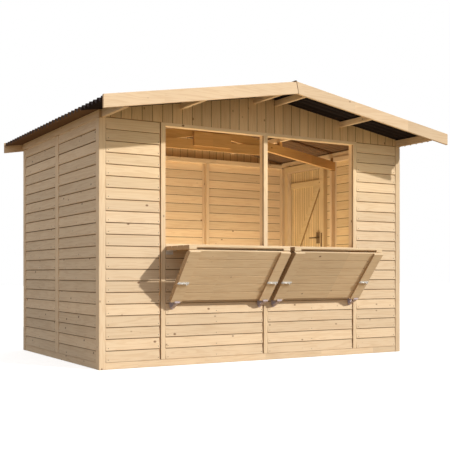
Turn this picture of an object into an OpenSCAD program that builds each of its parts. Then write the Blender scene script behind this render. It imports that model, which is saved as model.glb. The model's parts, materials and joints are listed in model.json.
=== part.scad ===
// Wooden sales kiosk: a hollow timber cabin with a corrugated gable roof on purlins,
// two serving windows whose two-leaf shutters are folded out as counters, and a side door.
// Front of the kiosk faces -Y, the ground is at z = 0, origin under the middle of the roof.

/* [Walls] */
// Outer width of the cabin along the front
wall_w = 3000; // [2600:10:3600]
// Outer depth of the cabin
wall_d = 1940; // [1900:10:2600]
// Thickness of the lap board skin
board_t = 20; // [14:1:28]
// Depth of the timber frame behind the skin
frame_t = 46; // [36:1:70]
// Height of the base rails
rail_h = 54; // [40:1:90]
// Setback of the base rails from the wall face
rail_back = 4; // [0:1:10]
// Height where the lap boards end and the gable boards begin
gable_z = 1919; // [1917:1:1935]
// Width of the corner posts on the front and rear
corner_w = 54; // [40:1:80]
// Width of the posts between two side or rear wall panels
joint_w = 80; // [60:1:120]
// Height where the rear wall's lap boards end and its gable boards begin
rear_gable_z = 1957; // [1930:1:1970]
// Distance of the rear wall posts from the middle
rear_post_x = 485; // [400:5:600]
// Height of the plates under the roof inside the walls
plate_h = 46; // [30:1:70]

/* [Windows] */
// Clear width of each serving window
window_w = 922; // [700:1:1000]
// Width of the window posts
post_w = 40; // [30:1:70]
// Height of the sill's upper face
sill_z = 965; // [850:5:1100]
// Thickness of the sills
sill_t = 25; // [18:1:40]
// Underside of the rail over the windows
window_top = 1894; // [1700:1:1900]

/* [Roof] */
// Roof pitch in degrees
pitch = 9.6; // [8:0.1:12]
// Height of the roof boards' top edge at the eaves
eave_z = 1982; // [1978:1:2040]
// Roof overhang in front of the wall
over_front = 460; // [425:5:600]
// Roof overhang behind the wall
over_rear = 130; // [60:5:300]
// Roof overhang at each side
over_side = 150; // [80:5:300]
// Width of the bargeboards, square to the slope
barge_w = 96; // [80:1:140]
// Thickness of the bargeboards
barge_t = 20; // [14:1:30]
// Pitch of the roof sheets' waves
wave_pitch = 76; // [60:1:120]
// Height of the roof sheets over their waves
wave_h = 32; // [24:1:36]
// Thickness of the roof sheets
sheet_t = 3; // [2:0.5:5]
// How far the wave crests lie below the bargeboards' top edge
sheet_drop = 3; // [1:0.5:6]
// Radius of the roll along the ridge cap
ridge_roll = 16; // [10:1:24]
// Width of each wing of the ridge cap
ridge_wing = 150; // [100:5:220]

/* [Roof timbers] */
// Width of the purlins
purlin_w = 45; // [36:1:70]
// Height of the purlins
purlin_h = 62; // [50:1:70]
// Distance of the ridge purlins from the middle
ridge_purlin_x = 108; // [80:1:160]
// Distance of the middle purlins from the middle
mid_purlin_x = 800; // [600:5:1000]
// Height of the truss rafters
rafter_h = 90; // [70:1:110]
// Thickness of the truss rafters
rafter_t = 45; // [30:1:60]
// Distance of the truss from the rear wall's face
truss_q = 970; // [900:5:1030]
// Underside of the collar tie
tie_z = 1885; // [1870:1:1900]
// Height of the collar tie
tie_h = 94; // [70:1:110]
// Half of the collar tie's length
tie_half = 600; // [500:5:700]
// Thickness of the collar tie
tie_t = 22; // [16:1:30]
// Width of the board over the middle of the tie
gusset_w = 400; // [300:5:500]
// Height of the board over the middle of the tie
gusset_h = 130; // [100:1:140]
// How far that board's lower edge lies above the tie's
gusset_rise = 35; // [10:1:50]

/* [Folding shutters] */
// How far the lower leaf stands out as a counter
counter_out = 395; // [300:5:410]
// Length of the upper leaf, folded down as a support
support_len = 508; // [480:1:530]
// Angle of the upper leaf below the horizontal
support_angle = 49.8; // [47:0.1:52]
// Height of the counter's upper face
counter_z = 944; // [840:2:1000]
// Thickness of the shutter boards
leaf_t = 15; // [12:1:22]
// Thickness of the shutter stiles
stile_t = 17; // [14:1:26]
// Width of the counter's stiles
counter_stile_w = 65; // [50:1:100]
// Width of the support's stiles
support_stile_w = 97; // [70:1:120]
// Gap between a shutter and each window post
shutter_gap = 2; // [1:0.5:6]
// Width of the shutter hinges and wall brackets
bracket_w = 60; // [36:1:64]
// Metal thickness of hinges, straps and brackets
metal_t = 3; // [2:0.5:5]

/* [Door] */
// Width of the door leaf
door_w = 590; // [480:5:660]
// Top of the door leaf
door_top = 1850; // [1750:5:1855]
// How far the door's middle stands behind the middle of its bay
door_q = 8; // [-30:1:30]
// Running gap round the door leaf
door_gap = 6; // [5:0.5:8]
// Width of the door posts
door_post_w = 60; // [40:1:64]
// Width of the ledges and the brace on the door's inner face
ledge_w = 80; // [60:1:120]
// Height of the top ledge's middle
ledge_top_z = 1676; // [1500:1:1720]
// Height of the bottom ledge's middle
ledge_low_z = 240; // [180:1:400]
// Height of the door handle
handle_z = 1110; // [950:5:1200]
// Width of the rim lock
lock_w = 86; // [60:1:110]
// Height of the rim lock
lock_h = 120; // [80:1:160]
// Thickness of the rim lock
lock_t = 22; // [16:1:30]
// Distance of the rim lock from the door's latch edge
lock_edge = 6; // [4:1:12]
// Length of the levers
lever_len = 110; // [80:1:130]
// Radius of the levers and of the spindle
lever_r = 8; // [5:0.5:9]
// How far the levers stand off the door
lever_out = 40; // [30:1:50]
// Length of the hinge straps
strap_len = 260; // [150:5:400]
// Radius of the hinge knuckles
knuckle_r = 6; // [5:0.5:7]
// Radius of the hinge pins
pin_r = 3; // [2:0.5:4]
// Height of a hinge's middle knuckle
knuckle_h = 36; // [24:1:60]

/* [Hidden] */

// Clearance between pieces that lie against each other
seat = 0.3;
// Points on each wave of the roof sheets
wave_steps = 8;

wall_t = board_t + frame_t;
half_w = wall_w / 2;
roof_d = over_front + wall_d + over_rear;
// Outer faces of the front and rear walls
y_front = over_front - roof_d / 2;
y_rear = y_front + wall_d;
// Outer ends of the bargeboards and the space between them
roof_half = half_w + over_side;
roof_y = roof_d / 2 - barge_t - seat;
ridge_z = eave_z + roof_half * tan(pitch);
inner_x = half_w - wall_t;
skin_x = half_w - board_t;
post_x = half_w - corner_w;
// Depths below the bargeboards' top edge, square to the slope
sheet_low = sheet_drop + wave_h + sheet_t;
purlin_top = sheet_low + seat;
purlin_low = purlin_top + purlin_h;
rafter_low = purlin_low + rafter_h;
// Windows from the middle post outwards
window_x = post_w / 2 + window_w / 2;
bay_end = post_w / 2 + window_w + post_w;
leaf_w = window_w - 2 * shutter_gap;
// Truss, side posts and door along the depth
truss_y = y_rear - truss_q;
bay_y = truss_y + joint_w / 2;
door_y = (bay_y + y_rear - wall_t - door_w) / 2 + door_q;
door_end = door_y + door_w;
door_low = rail_h + door_gap + 2;
spindle_y = door_y + lock_edge + lock_w / 2;
axis_x = half_w + knuckle_r + 1;
axis_y = door_end + door_gap / 2;
hinge_heights = [ledge_low_z, ledge_top_z];
counter_low = counter_z - leaf_t - stile_t;
support_z = counter_low - seat - leaf_t * cos(support_angle);
tone = "burlywood";

// Height of a plane that lies `depth` below the roof boards' top edge
function roof_line(x, depth) = ridge_z - abs(x) * tan(pitch) - depth / cos(pitch);

// Wave line of the roof sheets at distance y, lifted by z
function wave_line(z, from, to, step) =
    [for (y = [from:step:to]) [y, z + wave_h / 2 * cos(360 * y / wave_pitch)]];

// A plate drawn as an outline in x and z, from y to y + t
module upright(y, t) {
    translate([0, y + t, 0])
        rotate([90, 0, 0])
            linear_extrude(height = t)
                children();
}

// Children in the frame of one roof slope: x down the slope, z square to it
module slope(side) {
    mirror([side < 0 ? 1 : 0, 0, 0])
        translate([0, 0, ridge_z])
            rotate([0, pitch, 0])
                children();
}

module both_sides() {
    children();
    mirror([1, 0, 0])
        children();
}

// A wall piece on the right side whose top follows the roof
module side_slab(x0, x1, y0, y1) {
    upright(y0, y1 - y0)
        polygon([[x0, rail_h], [x1, rail_h],
            [x1, roof_line(x1, purlin_low)], [x0, roof_line(x0, purlin_low)]]);
}

// One purlin on the right slope; x is where its lower outer corner lies
module purlin(x, grow = 0) {
    run = (x + purlin_low * sin(pitch)) / cos(pitch);
    slope(1)
        translate([run - purlin_w - grow, -roof_y, -purlin_low - grow])
            cube([purlin_w + 2 * grow, 2 * roof_y, purlin_h + 2 * grow]);
}

module all_purlins(grow) {
    both_sides() {
        purlin(half_w, grow);
        purlin(mid_purlin_x + purlin_w / 2, grow);
        purlin(ridge_purlin_x + purlin_w / 2, grow);
    }
}

// Rail along the front or rear wall, between the corner posts
module long_rail(y) {
    translate([-post_x, y, 0])
        cube([2 * post_x, wall_t - rail_back, rail_h]);
}

// Rail along a side wall, between the corner posts
module side_rail(x) {
    translate([x, y_front + wall_t, 0])
        cube([wall_t - rail_back, wall_d - 2 * wall_t, rail_h]);
}

module base_rail_front() {
    color(tone) long_rail(y_front + rail_back);
}

module base_rail_rear() {
    color(tone) long_rail(y_rear - wall_t);
}

module base_rail_left() {
    color(tone) side_rail(rail_back - half_w);
}

module base_rail_right() {
    color(tone) side_rail(inner_x);
}

module corner_posts() {
    color(tone)
        both_sides()
            for (y = [y_front, y_rear - wall_t])
                upright(y, wall_t)
                    polygon([[post_x, 0], [half_w, 0],
                        [half_w, roof_line(half_w, purlin_low)],
                        [post_x, roof_line(post_x, purlin_low)]]);
}

module front_panels() {
    color(tone)
        both_sides()
            translate([bay_end, y_front, rail_h])
                cube([post_x - bay_end, board_t, gable_z - rail_h]);
}

module counter_walls() {
    color(tone)
        both_sides()
            translate([post_w / 2, y_front, rail_h])
                cube([window_w, board_t, sill_z - sill_t - rail_h]);
}

module window_posts() {
    color(tone)
        for (x = [-bay_end, -post_w / 2, bay_end - post_w])
            translate([x, y_front, rail_h])
                cube([post_w, wall_t, window_top - rail_h]);
}

module window_sills() {
    color(tone)
        both_sides()
            translate([post_w / 2, y_front, sill_z - sill_t])
                cube([window_w, wall_t, sill_t]);
}

module window_header() {
    color(tone)
        translate([-bay_end, y_front, window_top])
            cube([2 * bay_end, wall_t, gable_z - window_top]);
}

// Half of a gable on the right side, from its base up, cut out round the purlins
module gable(y, base) {
    end_x = half_w - purlin_w * cos(pitch) + board_t / 2;
    difference() {
        upright(y, board_t)
            polygon([[0, base], [end_x, base],
                [end_x, roof_line(end_x, purlin_top + seat)],
                [0, roof_line(0, purlin_top + seat)]]);
        all_purlins(seat);
    }
}

module front_gable_left() {
    color(tone) mirror([1, 0, 0]) gable(y_front, gable_z);
}

module front_gable_right() {
    color(tone) gable(y_front, gable_z);
}

module back_gable_left() {
    color(tone) mirror([1, 0, 0]) gable(y_rear - board_t, rear_gable_z);
}

module back_gable_right() {
    color(tone) gable(y_rear - board_t, rear_gable_z);
}

module left_wall() {
    color(tone)
        mirror([1, 0, 0]) {
            side_slab(skin_x, half_w, y_front + wall_t, truss_y - joint_w / 2);
            side_slab(skin_x, half_w, bay_y, y_rear - wall_t);
        }
}

module right_wall() {
    latch_post = door_y - door_gap - door_post_w;
    hinge_post = door_end + door_gap + door_post_w;
    color(tone) {
        side_slab(skin_x, half_w, y_front + wall_t, truss_y - joint_w / 2);
        side_slab(skin_x, half_w, bay_y, latch_post);
        side_slab(skin_x, half_w, hinge_post, y_rear - wall_t);
    }
}

// Posts at mid depth; the truss rafters stand on their notched tops
module side_posts() {
    color(tone)
        both_sides()
            upright(truss_y - joint_w / 2, joint_w)
                polygon([[inner_x, rail_h], [half_w, rail_h],
                    [half_w, roof_line(half_w, purlin_low)],
                    [skin_x, roof_line(skin_x, purlin_low)],
                    [skin_x, roof_line(skin_x, rafter_low)],
                    [inner_x, roof_line(inner_x, rafter_low)]]);
}

module door_posts() {
    color(tone) {
        side_slab(inner_x, half_w, door_y - door_gap - door_post_w, door_y - door_gap);
        side_slab(inner_x, half_w, door_end + door_gap, door_end + door_gap + door_post_w);
    }
}

module door_head() {
    low = door_top + door_gap;
    color(tone)
        upright(door_y - door_gap, door_w + 2 * door_gap)
            polygon([[inner_x, low], [half_w, low],
                [half_w, roof_line(half_w, purlin_low)],
                [inner_x, roof_line(inner_x, purlin_low)]]);
}

module back_wall() {
    side_w = post_x - rear_post_x - joint_w / 2;
    mid_w = 2 * rear_post_x - joint_w;
    color(tone) {
        both_sides()
            translate([post_x - side_w, y_rear - board_t, rail_h])
                cube([side_w, board_t, rear_gable_z - rail_h]);
        translate([-mid_w / 2, y_rear - board_t, rail_h])
            cube([mid_w, board_t, rear_gable_z - rail_h]);
    }
}

// Posts in the rear wall, notched at the top for the plate
module back_posts() {
    post_h = rear_gable_z - rail_h;
    color(tone)
        both_sides()
            translate([rear_post_x - joint_w / 2, y_rear - wall_t, rail_h])
                difference() {
                    cube([joint_w, wall_t, post_h]);
                    translate([-joint_w, -frame_t, post_h - plate_h])
                        cube([3 * joint_w, 2 * frame_t, 2 * plate_h]);
                }
}

// A plate inside a side wall under the roof
module side_plate(y0, y1) {
    upright(y0, y1 - y0)
        polygon([[inner_x, roof_line(inner_x, purlin_low) - plate_h],
            [skin_x, roof_line(skin_x, purlin_low) - plate_h],
            [skin_x, roof_line(skin_x, purlin_low)],
            [inner_x, roof_line(inner_x, purlin_low)]]);
}

// A plate inside the front or rear wall, from x0 to x1, its upper face at top
module cross_plate(x0, x1, y, top) {
    translate([x0, y, top - plate_h])
        cube([x1 - x0, frame_t, plate_h]);
}

module wall_plates() {
    rear_y = y_rear - wall_t;
    color(tone) {
        mirror([1, 0, 0])
            side_plate(bay_y, rear_y - seat);
        both_sides() {
            side_plate(y_front + wall_t + seat, truss_y - joint_w / 2);
            cross_plate(bay_end, post_x, y_front + board_t, gable_z);
        }
        cross_plate(-post_x, post_x, rear_y, rear_gable_z);
    }
}

module eave_purlins() {
    color(tone) both_sides() purlin(half_w);
}

module mid_purlins() {
    color(tone) both_sides() purlin(mid_purlin_x + purlin_w / 2);
}

module ridge_purlins() {
    color(tone) both_sides() purlin(ridge_purlin_x + purlin_w / 2);
}

module rafter() {
    color("peru")
        upright(truss_y - rafter_t / 2, rafter_t)
            polygon([[seat, roof_line(seat, rafter_low)], [skin_x, roof_line(skin_x, rafter_low)],
                [skin_x, roof_line(skin_x, purlin_low)], [seat, roof_line(seat, purlin_low)]]);
}

module truss_rafter_left() {
    mirror([1, 0, 0]) rafter();
}

module truss_rafter_right() {
    rafter();
}

module collar_tie() {
    color("peru")
        translate([-tie_half, truss_y - rafter_t / 2 - tie_t, tie_z])
            cube([2 * tie_half, tie_t, tie_h]);
}

module truss_gusset() {
    color("peru")
        translate([-gusset_w / 2, truss_y - rafter_t / 2 - tie_t - board_t, tie_z + gusset_rise])
            cube([gusset_w, board_t, gusset_h]);
}

// Two bargeboards that meet in a plumb joint under the ridge
module bargeboards(y) {
    color(tone)
        both_sides()
            upright(y, barge_t)
                polygon([[seat, roof_line(seat, barge_w)], [roof_half, roof_line(roof_half, barge_w)],
                    [roof_half, roof_line(roof_half, 0)], [seat, roof_line(seat, 0)]]);
}

module front_bargeboards() {
    bargeboards(-roof_d / 2);
}

module rear_bargeboards() {
    bargeboards(roof_d / 2 - barge_t);
}

// Corrugated sheet over one slope, its waves running from ridge to eave
module roof_sheet(side) {
    middle = -sheet_drop - wave_h / 2;
    step = wave_pitch / wave_steps;
    reach = floor(roof_y / step) * step;
    top = wave_line(middle, -reach, reach, step);
    bottom = wave_line(middle - sheet_t, -reach, reach, step);
    start = (sheet_low * sin(pitch) + seat) / cos(pitch);
    color([0.12, 0.10, 0.10])
        slope(side)
            translate([start, 0, 0])
                rotate([90, 0, 90])
                    linear_extrude(height = roof_half / cos(pitch) - start)
                        polygon(concat(top, [for (i = [len(bottom) - 1:-1:0]) bottom[i]]));
}

module roof_sheet_left() {
    roof_sheet(-1);
}

module roof_sheet_right() {
    roof_sheet(1);
}

// Folded cap over the ridge, with a half-round roll along the middle
module ridge_cap() {
    end_x = ridge_wing * cos(pitch);
    low = sheet_drop - seat;
    top = low - sheet_t;
    roll_z = roof_line(0, sheet_drop);
    roll = [for (a = [15:15:165]) [ridge_roll * cos(a), roll_z + ridge_roll * sin(a)]];
    color([0.10, 0.09, 0.09])
        upright(-roof_y, 2 * roof_y)
            polygon(concat(
                [[0, roof_line(0, low)], [end_x, roof_line(end_x, low)], [end_x, roof_line(end_x, top)]],
                roll,
                [[-end_x, roof_line(end_x, top)], [-end_x, roof_line(end_x, low)]]));
}

// Lower shutter leaf over the right window, laid flat as the counter
module counter() {
    color(tone) {
        translate([window_x - leaf_w / 2, y_front - counter_out, counter_z - leaf_t])
            cube([leaf_w, counter_out - metal_t - seat, leaf_t]);
        for (x = [window_x - leaf_w / 2, window_x + leaf_w / 2 - counter_stile_w])
            translate([x, y_front - counter_out, counter_low])
                cube([counter_stile_w, counter_out - 2 * knuckle_r, stile_t]);
    }
}

module counter_left() {
    mirror([1, 0, 0]) counter();
}

module counter_right() {
    counter();
}

// Upper shutter leaf over the right window, hung from the counter's edge
module support() {
    color(tone)
        translate([window_x - leaf_w / 2, y_front - counter_out, support_z])
            rotate([-support_angle, 0, 0]) {
                cube([leaf_w, support_len, leaf_t]);
                for (x = [0, leaf_w - support_stile_w])
                    translate([x, 0, -stile_t])
                        cube([support_stile_w, support_len, stile_t]);
            }
}

module support_left() {
    mirror([1, 0, 0]) support();
}

module support_right() {
    support();
}

// A hinge with one plate on the wall and one under the counter's stile
module shutter_hinge(x) {
    plate_w = min(bracket_w, counter_stile_w);
    translate([x - plate_w / 2, y_front, counter_low]) {
        translate([0, -metal_t, -counter_stile_w / 2])
            cube([plate_w, metal_t, counter_stile_w / 2]);
        translate([0, -counter_stile_w, -metal_t])
            cube([plate_w, counter_stile_w, metal_t]);
        translate([0, -metal_t, -metal_t])
            rotate([0, 90, 0])
                cylinder(r = metal_t, h = plate_w, $fn = 24);
    }
}

module shutter_hinges() {
    inset = counter_stile_w / 2;
    color("gainsboro")
        both_sides() {
            shutter_hinge(window_x - leaf_w / 2 + inset);
            shutter_hinge(window_x + leaf_w / 2 - inset);
        }
}

// A bent strap from the wall that carries the support's lower end
module support_bracket(x) {
    // The stile's lower outer corner stands on the strap
    foot_y = support_len * cos(support_angle) - stile_t * sin(support_angle) - counter_out;
    foot_z = support_z - support_len * sin(support_angle) - stile_t * cos(support_angle);
    reach = -foot_y + 4 * metal_t;
    translate([x - bracket_w / 2, y_front, foot_z - seat]) {
        translate([0, -metal_t, -bracket_w])
            cube([bracket_w, metal_t, bracket_w]);
        translate([0, -reach, -metal_t])
            cube([bracket_w, reach, metal_t]);
        translate([0, -reach - metal_t, -metal_t])
            cube([bracket_w, metal_t, 4 * metal_t]);
    }
}

module support_brackets() {
    inset = support_stile_w / 2;
    color("gainsboro")
        both_sides() {
            support_bracket(window_x - leaf_w / 2 + inset);
            support_bracket(window_x + leaf_w / 2 - inset);
        }
}

// Upright boards, bored for the lock's spindle
module door_leaf() {
    color(tone)
        difference() {
            translate([skin_x, door_y, door_low])
                cube([board_t, door_w, door_top - door_low]);
            translate([skin_x - board_t, spindle_y, handle_z])
                rotate([0, 90, 0])
                    cylinder(r = lever_r + seat, h = 3 * board_t, $fn = 32);
        }
}

// Two ledges across the boards and a brace from the latch side down to the hinge side
module door_bracing() {
    inset = ledge_w / 2;
    rise = ledge_top_z - ledge_low_z - ledge_w - 2 * seat;
    run = door_w - 2 * inset;
    foot = ledge_w / sin(atan2(rise, run));
    color(tone)
        translate([skin_x - board_t, door_y, 0]) {
            for (z = [ledge_low_z, ledge_top_z])
                translate([0, inset, z - ledge_w / 2])
                    cube([board_t, run, ledge_w]);
            translate([0, inset, ledge_low_z + ledge_w / 2 + seat])
                rotate([90, 0, 90])
                    linear_extrude(height = board_t)
                        polygon([[run - foot, 0], [run, 0], [foot, rise], [0, rise]]);
        }
}

// Rim lock on the inner face with a plate outside and a lever on each side
module door_lock() {
    color("dimgray") {
        translate([skin_x - lock_t, door_y + lock_edge, handle_z - lock_h / 2])
            cube([lock_t, lock_w, lock_h]);
        translate([half_w, spindle_y - lock_w / 4, handle_z - lock_h / 2])
            cube([metal_t, lock_w / 2, lock_h]);
        translate([skin_x - lock_t - lever_out, spindle_y, handle_z])
            rotate([0, 90, 0])
                cylinder(r = lever_r, h = board_t + lock_t + 2 * lever_out, $fn = 32);
        for (x = [skin_x - lock_t - lever_out, half_w + lever_out])
            translate([x, spindle_y, handle_z])
                rotate([-90, 0, 0])
                    cylinder(r = lever_r, h = lever_len, $fn = 32);
    }
}

// Moving half of a door hinge: the strap with its bored knuckle
module hinge_strap(z) {
    difference() {
        union() {
            translate([half_w, axis_y - strap_len, z - knuckle_h / 2])
                cube([metal_t, strap_len, knuckle_h]);
            translate([axis_x, axis_y, z - knuckle_h / 2])
                cylinder(r = knuckle_r, h = knuckle_h, $fn = 48);
        }
        translate([axis_x, axis_y, z - knuckle_h])
            cylinder(r = pin_r + seat, h = 2 * knuckle_h, $fn = 48);
    }
}

module door_hinges() {
    color("gainsboro")
        for (z = hinge_heights)
            hinge_strap(z);
}

// Fixed half of a door hinge: the plate on the post, two knuckles and the pin
module hinge_plate(z) {
    outer_h = knuckle_h / 2;
    plate_y = axis_y + knuckle_r + 2;
    translate([half_w, plate_y, z - knuckle_h])
        cube([metal_t, door_post_w / 2, 2 * knuckle_h]);
    for (low = [z - knuckle_h, z + outer_h + seat]) {
        translate([axis_x, axis_y, low])
            cylinder(r = knuckle_r, h = outer_h - seat, $fn = 48);
        translate([half_w, axis_y, low])
            cube([metal_t, knuckle_r + 2, outer_h - seat]);
    }
    translate([axis_x, axis_y, z - knuckle_h])
        cylinder(r = pin_r, h = 2 * knuckle_h, $fn = 48);
}

module door_hinge_plates() {
    color("gainsboro")
        for (z = hinge_heights)
            hinge_plate(z);
}

base_rail_front();
base_rail_rear();
base_rail_left();
base_rail_right();
corner_posts();
front_panels();
counter_walls();
window_posts();
window_sills();
window_header();
front_gable_left();
front_gable_right();
left_wall();
right_wall();
side_posts();
door_posts();
door_head();
back_wall();
back_posts();
back_gable_left();
back_gable_right();
wall_plates();
eave_purlins();
mid_purlins();
ridge_purlins();
truss_rafter_left();
truss_rafter_right();
collar_tie();
truss_gusset();
front_bargeboards();
rear_bargeboards();
roof_sheet_left();
roof_sheet_right();
ridge_cap();
counter_left();
counter_right();
support_left();
support_right();
shutter_hinges();
support_brackets();
door_leaf();
door_bracing();
door_lock();
door_hinges();
door_hinge_plates();
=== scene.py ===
import json
import math

import bmesh
import bpy
from mathutils import Matrix, Vector

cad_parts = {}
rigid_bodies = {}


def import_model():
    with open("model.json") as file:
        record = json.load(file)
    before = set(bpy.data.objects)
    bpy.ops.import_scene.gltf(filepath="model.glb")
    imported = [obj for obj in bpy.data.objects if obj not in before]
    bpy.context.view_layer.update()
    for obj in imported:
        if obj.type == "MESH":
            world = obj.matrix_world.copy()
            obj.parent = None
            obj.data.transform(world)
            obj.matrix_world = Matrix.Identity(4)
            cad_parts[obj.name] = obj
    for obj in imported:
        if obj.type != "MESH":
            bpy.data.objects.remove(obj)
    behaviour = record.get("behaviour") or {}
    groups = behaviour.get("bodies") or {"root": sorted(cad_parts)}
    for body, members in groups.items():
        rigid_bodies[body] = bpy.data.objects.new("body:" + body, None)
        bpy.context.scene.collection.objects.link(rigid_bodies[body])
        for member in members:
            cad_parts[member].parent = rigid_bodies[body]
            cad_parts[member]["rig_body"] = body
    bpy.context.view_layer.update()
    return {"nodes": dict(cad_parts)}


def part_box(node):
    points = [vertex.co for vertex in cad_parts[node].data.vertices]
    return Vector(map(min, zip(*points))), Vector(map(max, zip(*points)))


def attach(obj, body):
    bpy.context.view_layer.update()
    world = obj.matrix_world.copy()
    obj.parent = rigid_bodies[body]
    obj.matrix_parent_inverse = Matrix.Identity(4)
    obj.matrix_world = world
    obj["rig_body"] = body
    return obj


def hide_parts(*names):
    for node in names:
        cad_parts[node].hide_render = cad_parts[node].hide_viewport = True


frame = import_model()

# Studio: a white floor and backdrop, a soft sun from the front right and an even sky.
# The camera stands low in front of the left corner, as the photograph was taken.
FRONT_LEFT = Vector((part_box("corner_posts")[0].x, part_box("corner_posts")[0].y, 0))
CAMERA_FROM_CORNER = Vector((-2.317, -5.836, 0.729))
CAMERA_YAW = math.radians(30.35)
HORIZON_BELOW_CENTRE = 48.6
PHOTO_SIZE = 450
SUN_DIRECTION = Vector((0.43, -0.76, 0.48))
SUN_STRENGTH = 2.45
SKY_STRENGTH = 0.50

camera = bpy.data.objects.new("camera", bpy.data.cameras.new("camera"))
bpy.context.scene.collection.objects.link(camera)
camera.location = FRONT_LEFT + CAMERA_FROM_CORNER
camera.rotation_euler = (math.radians(90), 0, -CAMERA_YAW)
camera.data.lens = 65.9
camera.data.sensor_width = 36
camera.data.shift_y = HORIZON_BELOW_CENTRE / PHOTO_SIZE
camera.data.clip_end = 100
bpy.context.scene.camera = camera
bpy.context.scene.view_settings.view_transform = "Standard"

sun = bpy.data.objects.new("sun", bpy.data.lights.new("sun", "SUN"))
bpy.context.scene.collection.objects.link(sun)
sun.rotation_euler = SUN_DIRECTION.to_track_quat("Z", "Y").to_euler()
sun.data.energy = SUN_STRENGTH
sun.data.angle = math.radians(1.5)
sun.data.color = (1.0, 0.95, 0.84)

sky = bpy.data.worlds.new("sky")
bpy.context.scene.world = sky
sky.use_nodes = True
sky_nodes = sky.node_tree.nodes
sky_links = sky.node_tree.links
sky_path = sky_nodes.new("ShaderNodeLightPath")
sky_seen = sky_nodes.new("ShaderNodeMath")
sky_seen.operation = "MAXIMUM"
sky_strength = sky_nodes.new("ShaderNodeMapRange")
sky_strength.inputs["To Min"].default_value = SKY_STRENGTH
sky_strength.inputs["To Max"].default_value = 1.0
sky_links.new(sky_path.outputs["Is Camera Ray"], sky_seen.inputs[0])
sky_links.new(sky_path.outputs["Is Glossy Ray"], sky_seen.inputs[1])
sky_links.new(sky_seen.outputs[0], sky_strength.inputs["Value"])
sky_links.new(sky_strength.outputs["Result"], sky_nodes["Background"].inputs["Strength"])
sky_tone = sky_nodes.new("ShaderNodeMix")
sky_tone.data_type = "RGBA"
sky_tone.inputs["A"].default_value = (0.97, 0.98, 1.0, 1)
sky_tone.inputs["B"].default_value = (1, 1, 1, 1)
sky_links.new(sky_seen.outputs[0], sky_tone.inputs["Factor"])
sky_links.new(sky_tone.outputs["Result"], sky_nodes["Background"].inputs["Color"])

# A warm soft light low in the room stands for the sun patch at the rear wall's foot
room_light = bpy.data.objects.new("room_light", bpy.data.lights.new("room_light", "AREA"))
bpy.context.scene.collection.objects.link(room_light)
room_light.location = (0, 0.15, 0.12)
room_light.rotation_euler = (math.radians(155), 0, 0)
room_light.data.shape = "RECTANGLE"
room_light.data.size = 2.6
room_light.data.size_y = 0.9
room_light.data.energy = 40
room_light.data.color = (1.0, 0.86, 0.58)
room_light.visible_camera = False

floor_mesh = bpy.data.meshes.new("floor")
floor_mesh.from_pydata([(-40, -40, 0), (40, -40, 0), (40, 40, 0), (-40, 40, 0)], [], [(0, 1, 2, 3)])
floor = bpy.data.objects.new("floor", floor_mesh)
bpy.context.scene.collection.objects.link(floor)
floor.location.z = -0.002
# A narrow warm light stands for the bounce from the yard that reaches up under the
# front overhang, onto the gable and the top of the front panels
yard_data = bpy.data.lights.new("yard_bounce", "AREA")
yard_data.shape = "RECTANGLE"
yard_data.size = 3.0
yard_data.size_y = 0.2
yard_data.energy = 1.1
yard_data.spread = math.radians(31)
yard_data.color = (1.0, 0.84, 0.40)
yard = bpy.data.objects.new("yard_bounce", yard_data)
yard.location = (0, -2.3, 0.75)
yard.rotation_euler = (math.radians(120.5), 0, 0)
bpy.context.scene.collection.objects.link(yard)

# The floor looks white and keeps the shadow; its bounce is warm, as from sandy ground
floor_paint = bpy.data.materials.new("pale_floor")
floor_paint.use_nodes = True
floor_nodes = floor_paint.node_tree.nodes
floor_links = floor_paint.node_tree.links
floor_shader = floor_nodes["Principled BSDF"]
floor_path = floor_nodes.new("ShaderNodeLightPath")
floor_tone = floor_nodes.new("ShaderNodeMix")
floor_tone.data_type = "RGBA"
floor_tone.inputs["A"].default_value = (0.41, 0.305, 0.185, 1)
floor_tone.inputs["B"].default_value = (0.9, 0.9, 0.9, 1)
floor_links.new(floor_path.outputs["Is Camera Ray"], floor_tone.inputs["Factor"])
floor_links.new(floor_tone.outputs["Result"], floor_shader.inputs["Base Color"])
floor_glow = floor_nodes.new("ShaderNodeMath")
floor_glow.operation = "MULTIPLY"
floor_glow.inputs[1].default_value = 0.64
floor_links.new(floor_path.outputs["Is Camera Ray"], floor_glow.inputs[0])
floor_links.new(floor_glow.outputs[0], floor_shader.inputs["Emission Strength"])
floor_shader.inputs["Emission Color"].default_value = (1, 1, 1, 1)
floor_shader.inputs["Roughness"].default_value = 0.9
floor_shader.inputs["Specular IOR Level"].default_value = 0.1
floor_mesh.materials.append(floor_paint)

# Base rails: sawn spruce laid flat on the ground under all four walls. The spruce
# finish and the eased edges that every timber piece shares are made here first.
SPRUCE = (0.86, 0.68, 0.48)
SPRUCE_LATE = (0.66, 0.44, 0.25)
SPRUCE_KNOT = (0.20, 0.09, 0.04)
SEAM_SHADE = (0.16, 0.08, 0.035)
EASED_EDGE = 0.0018


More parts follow.
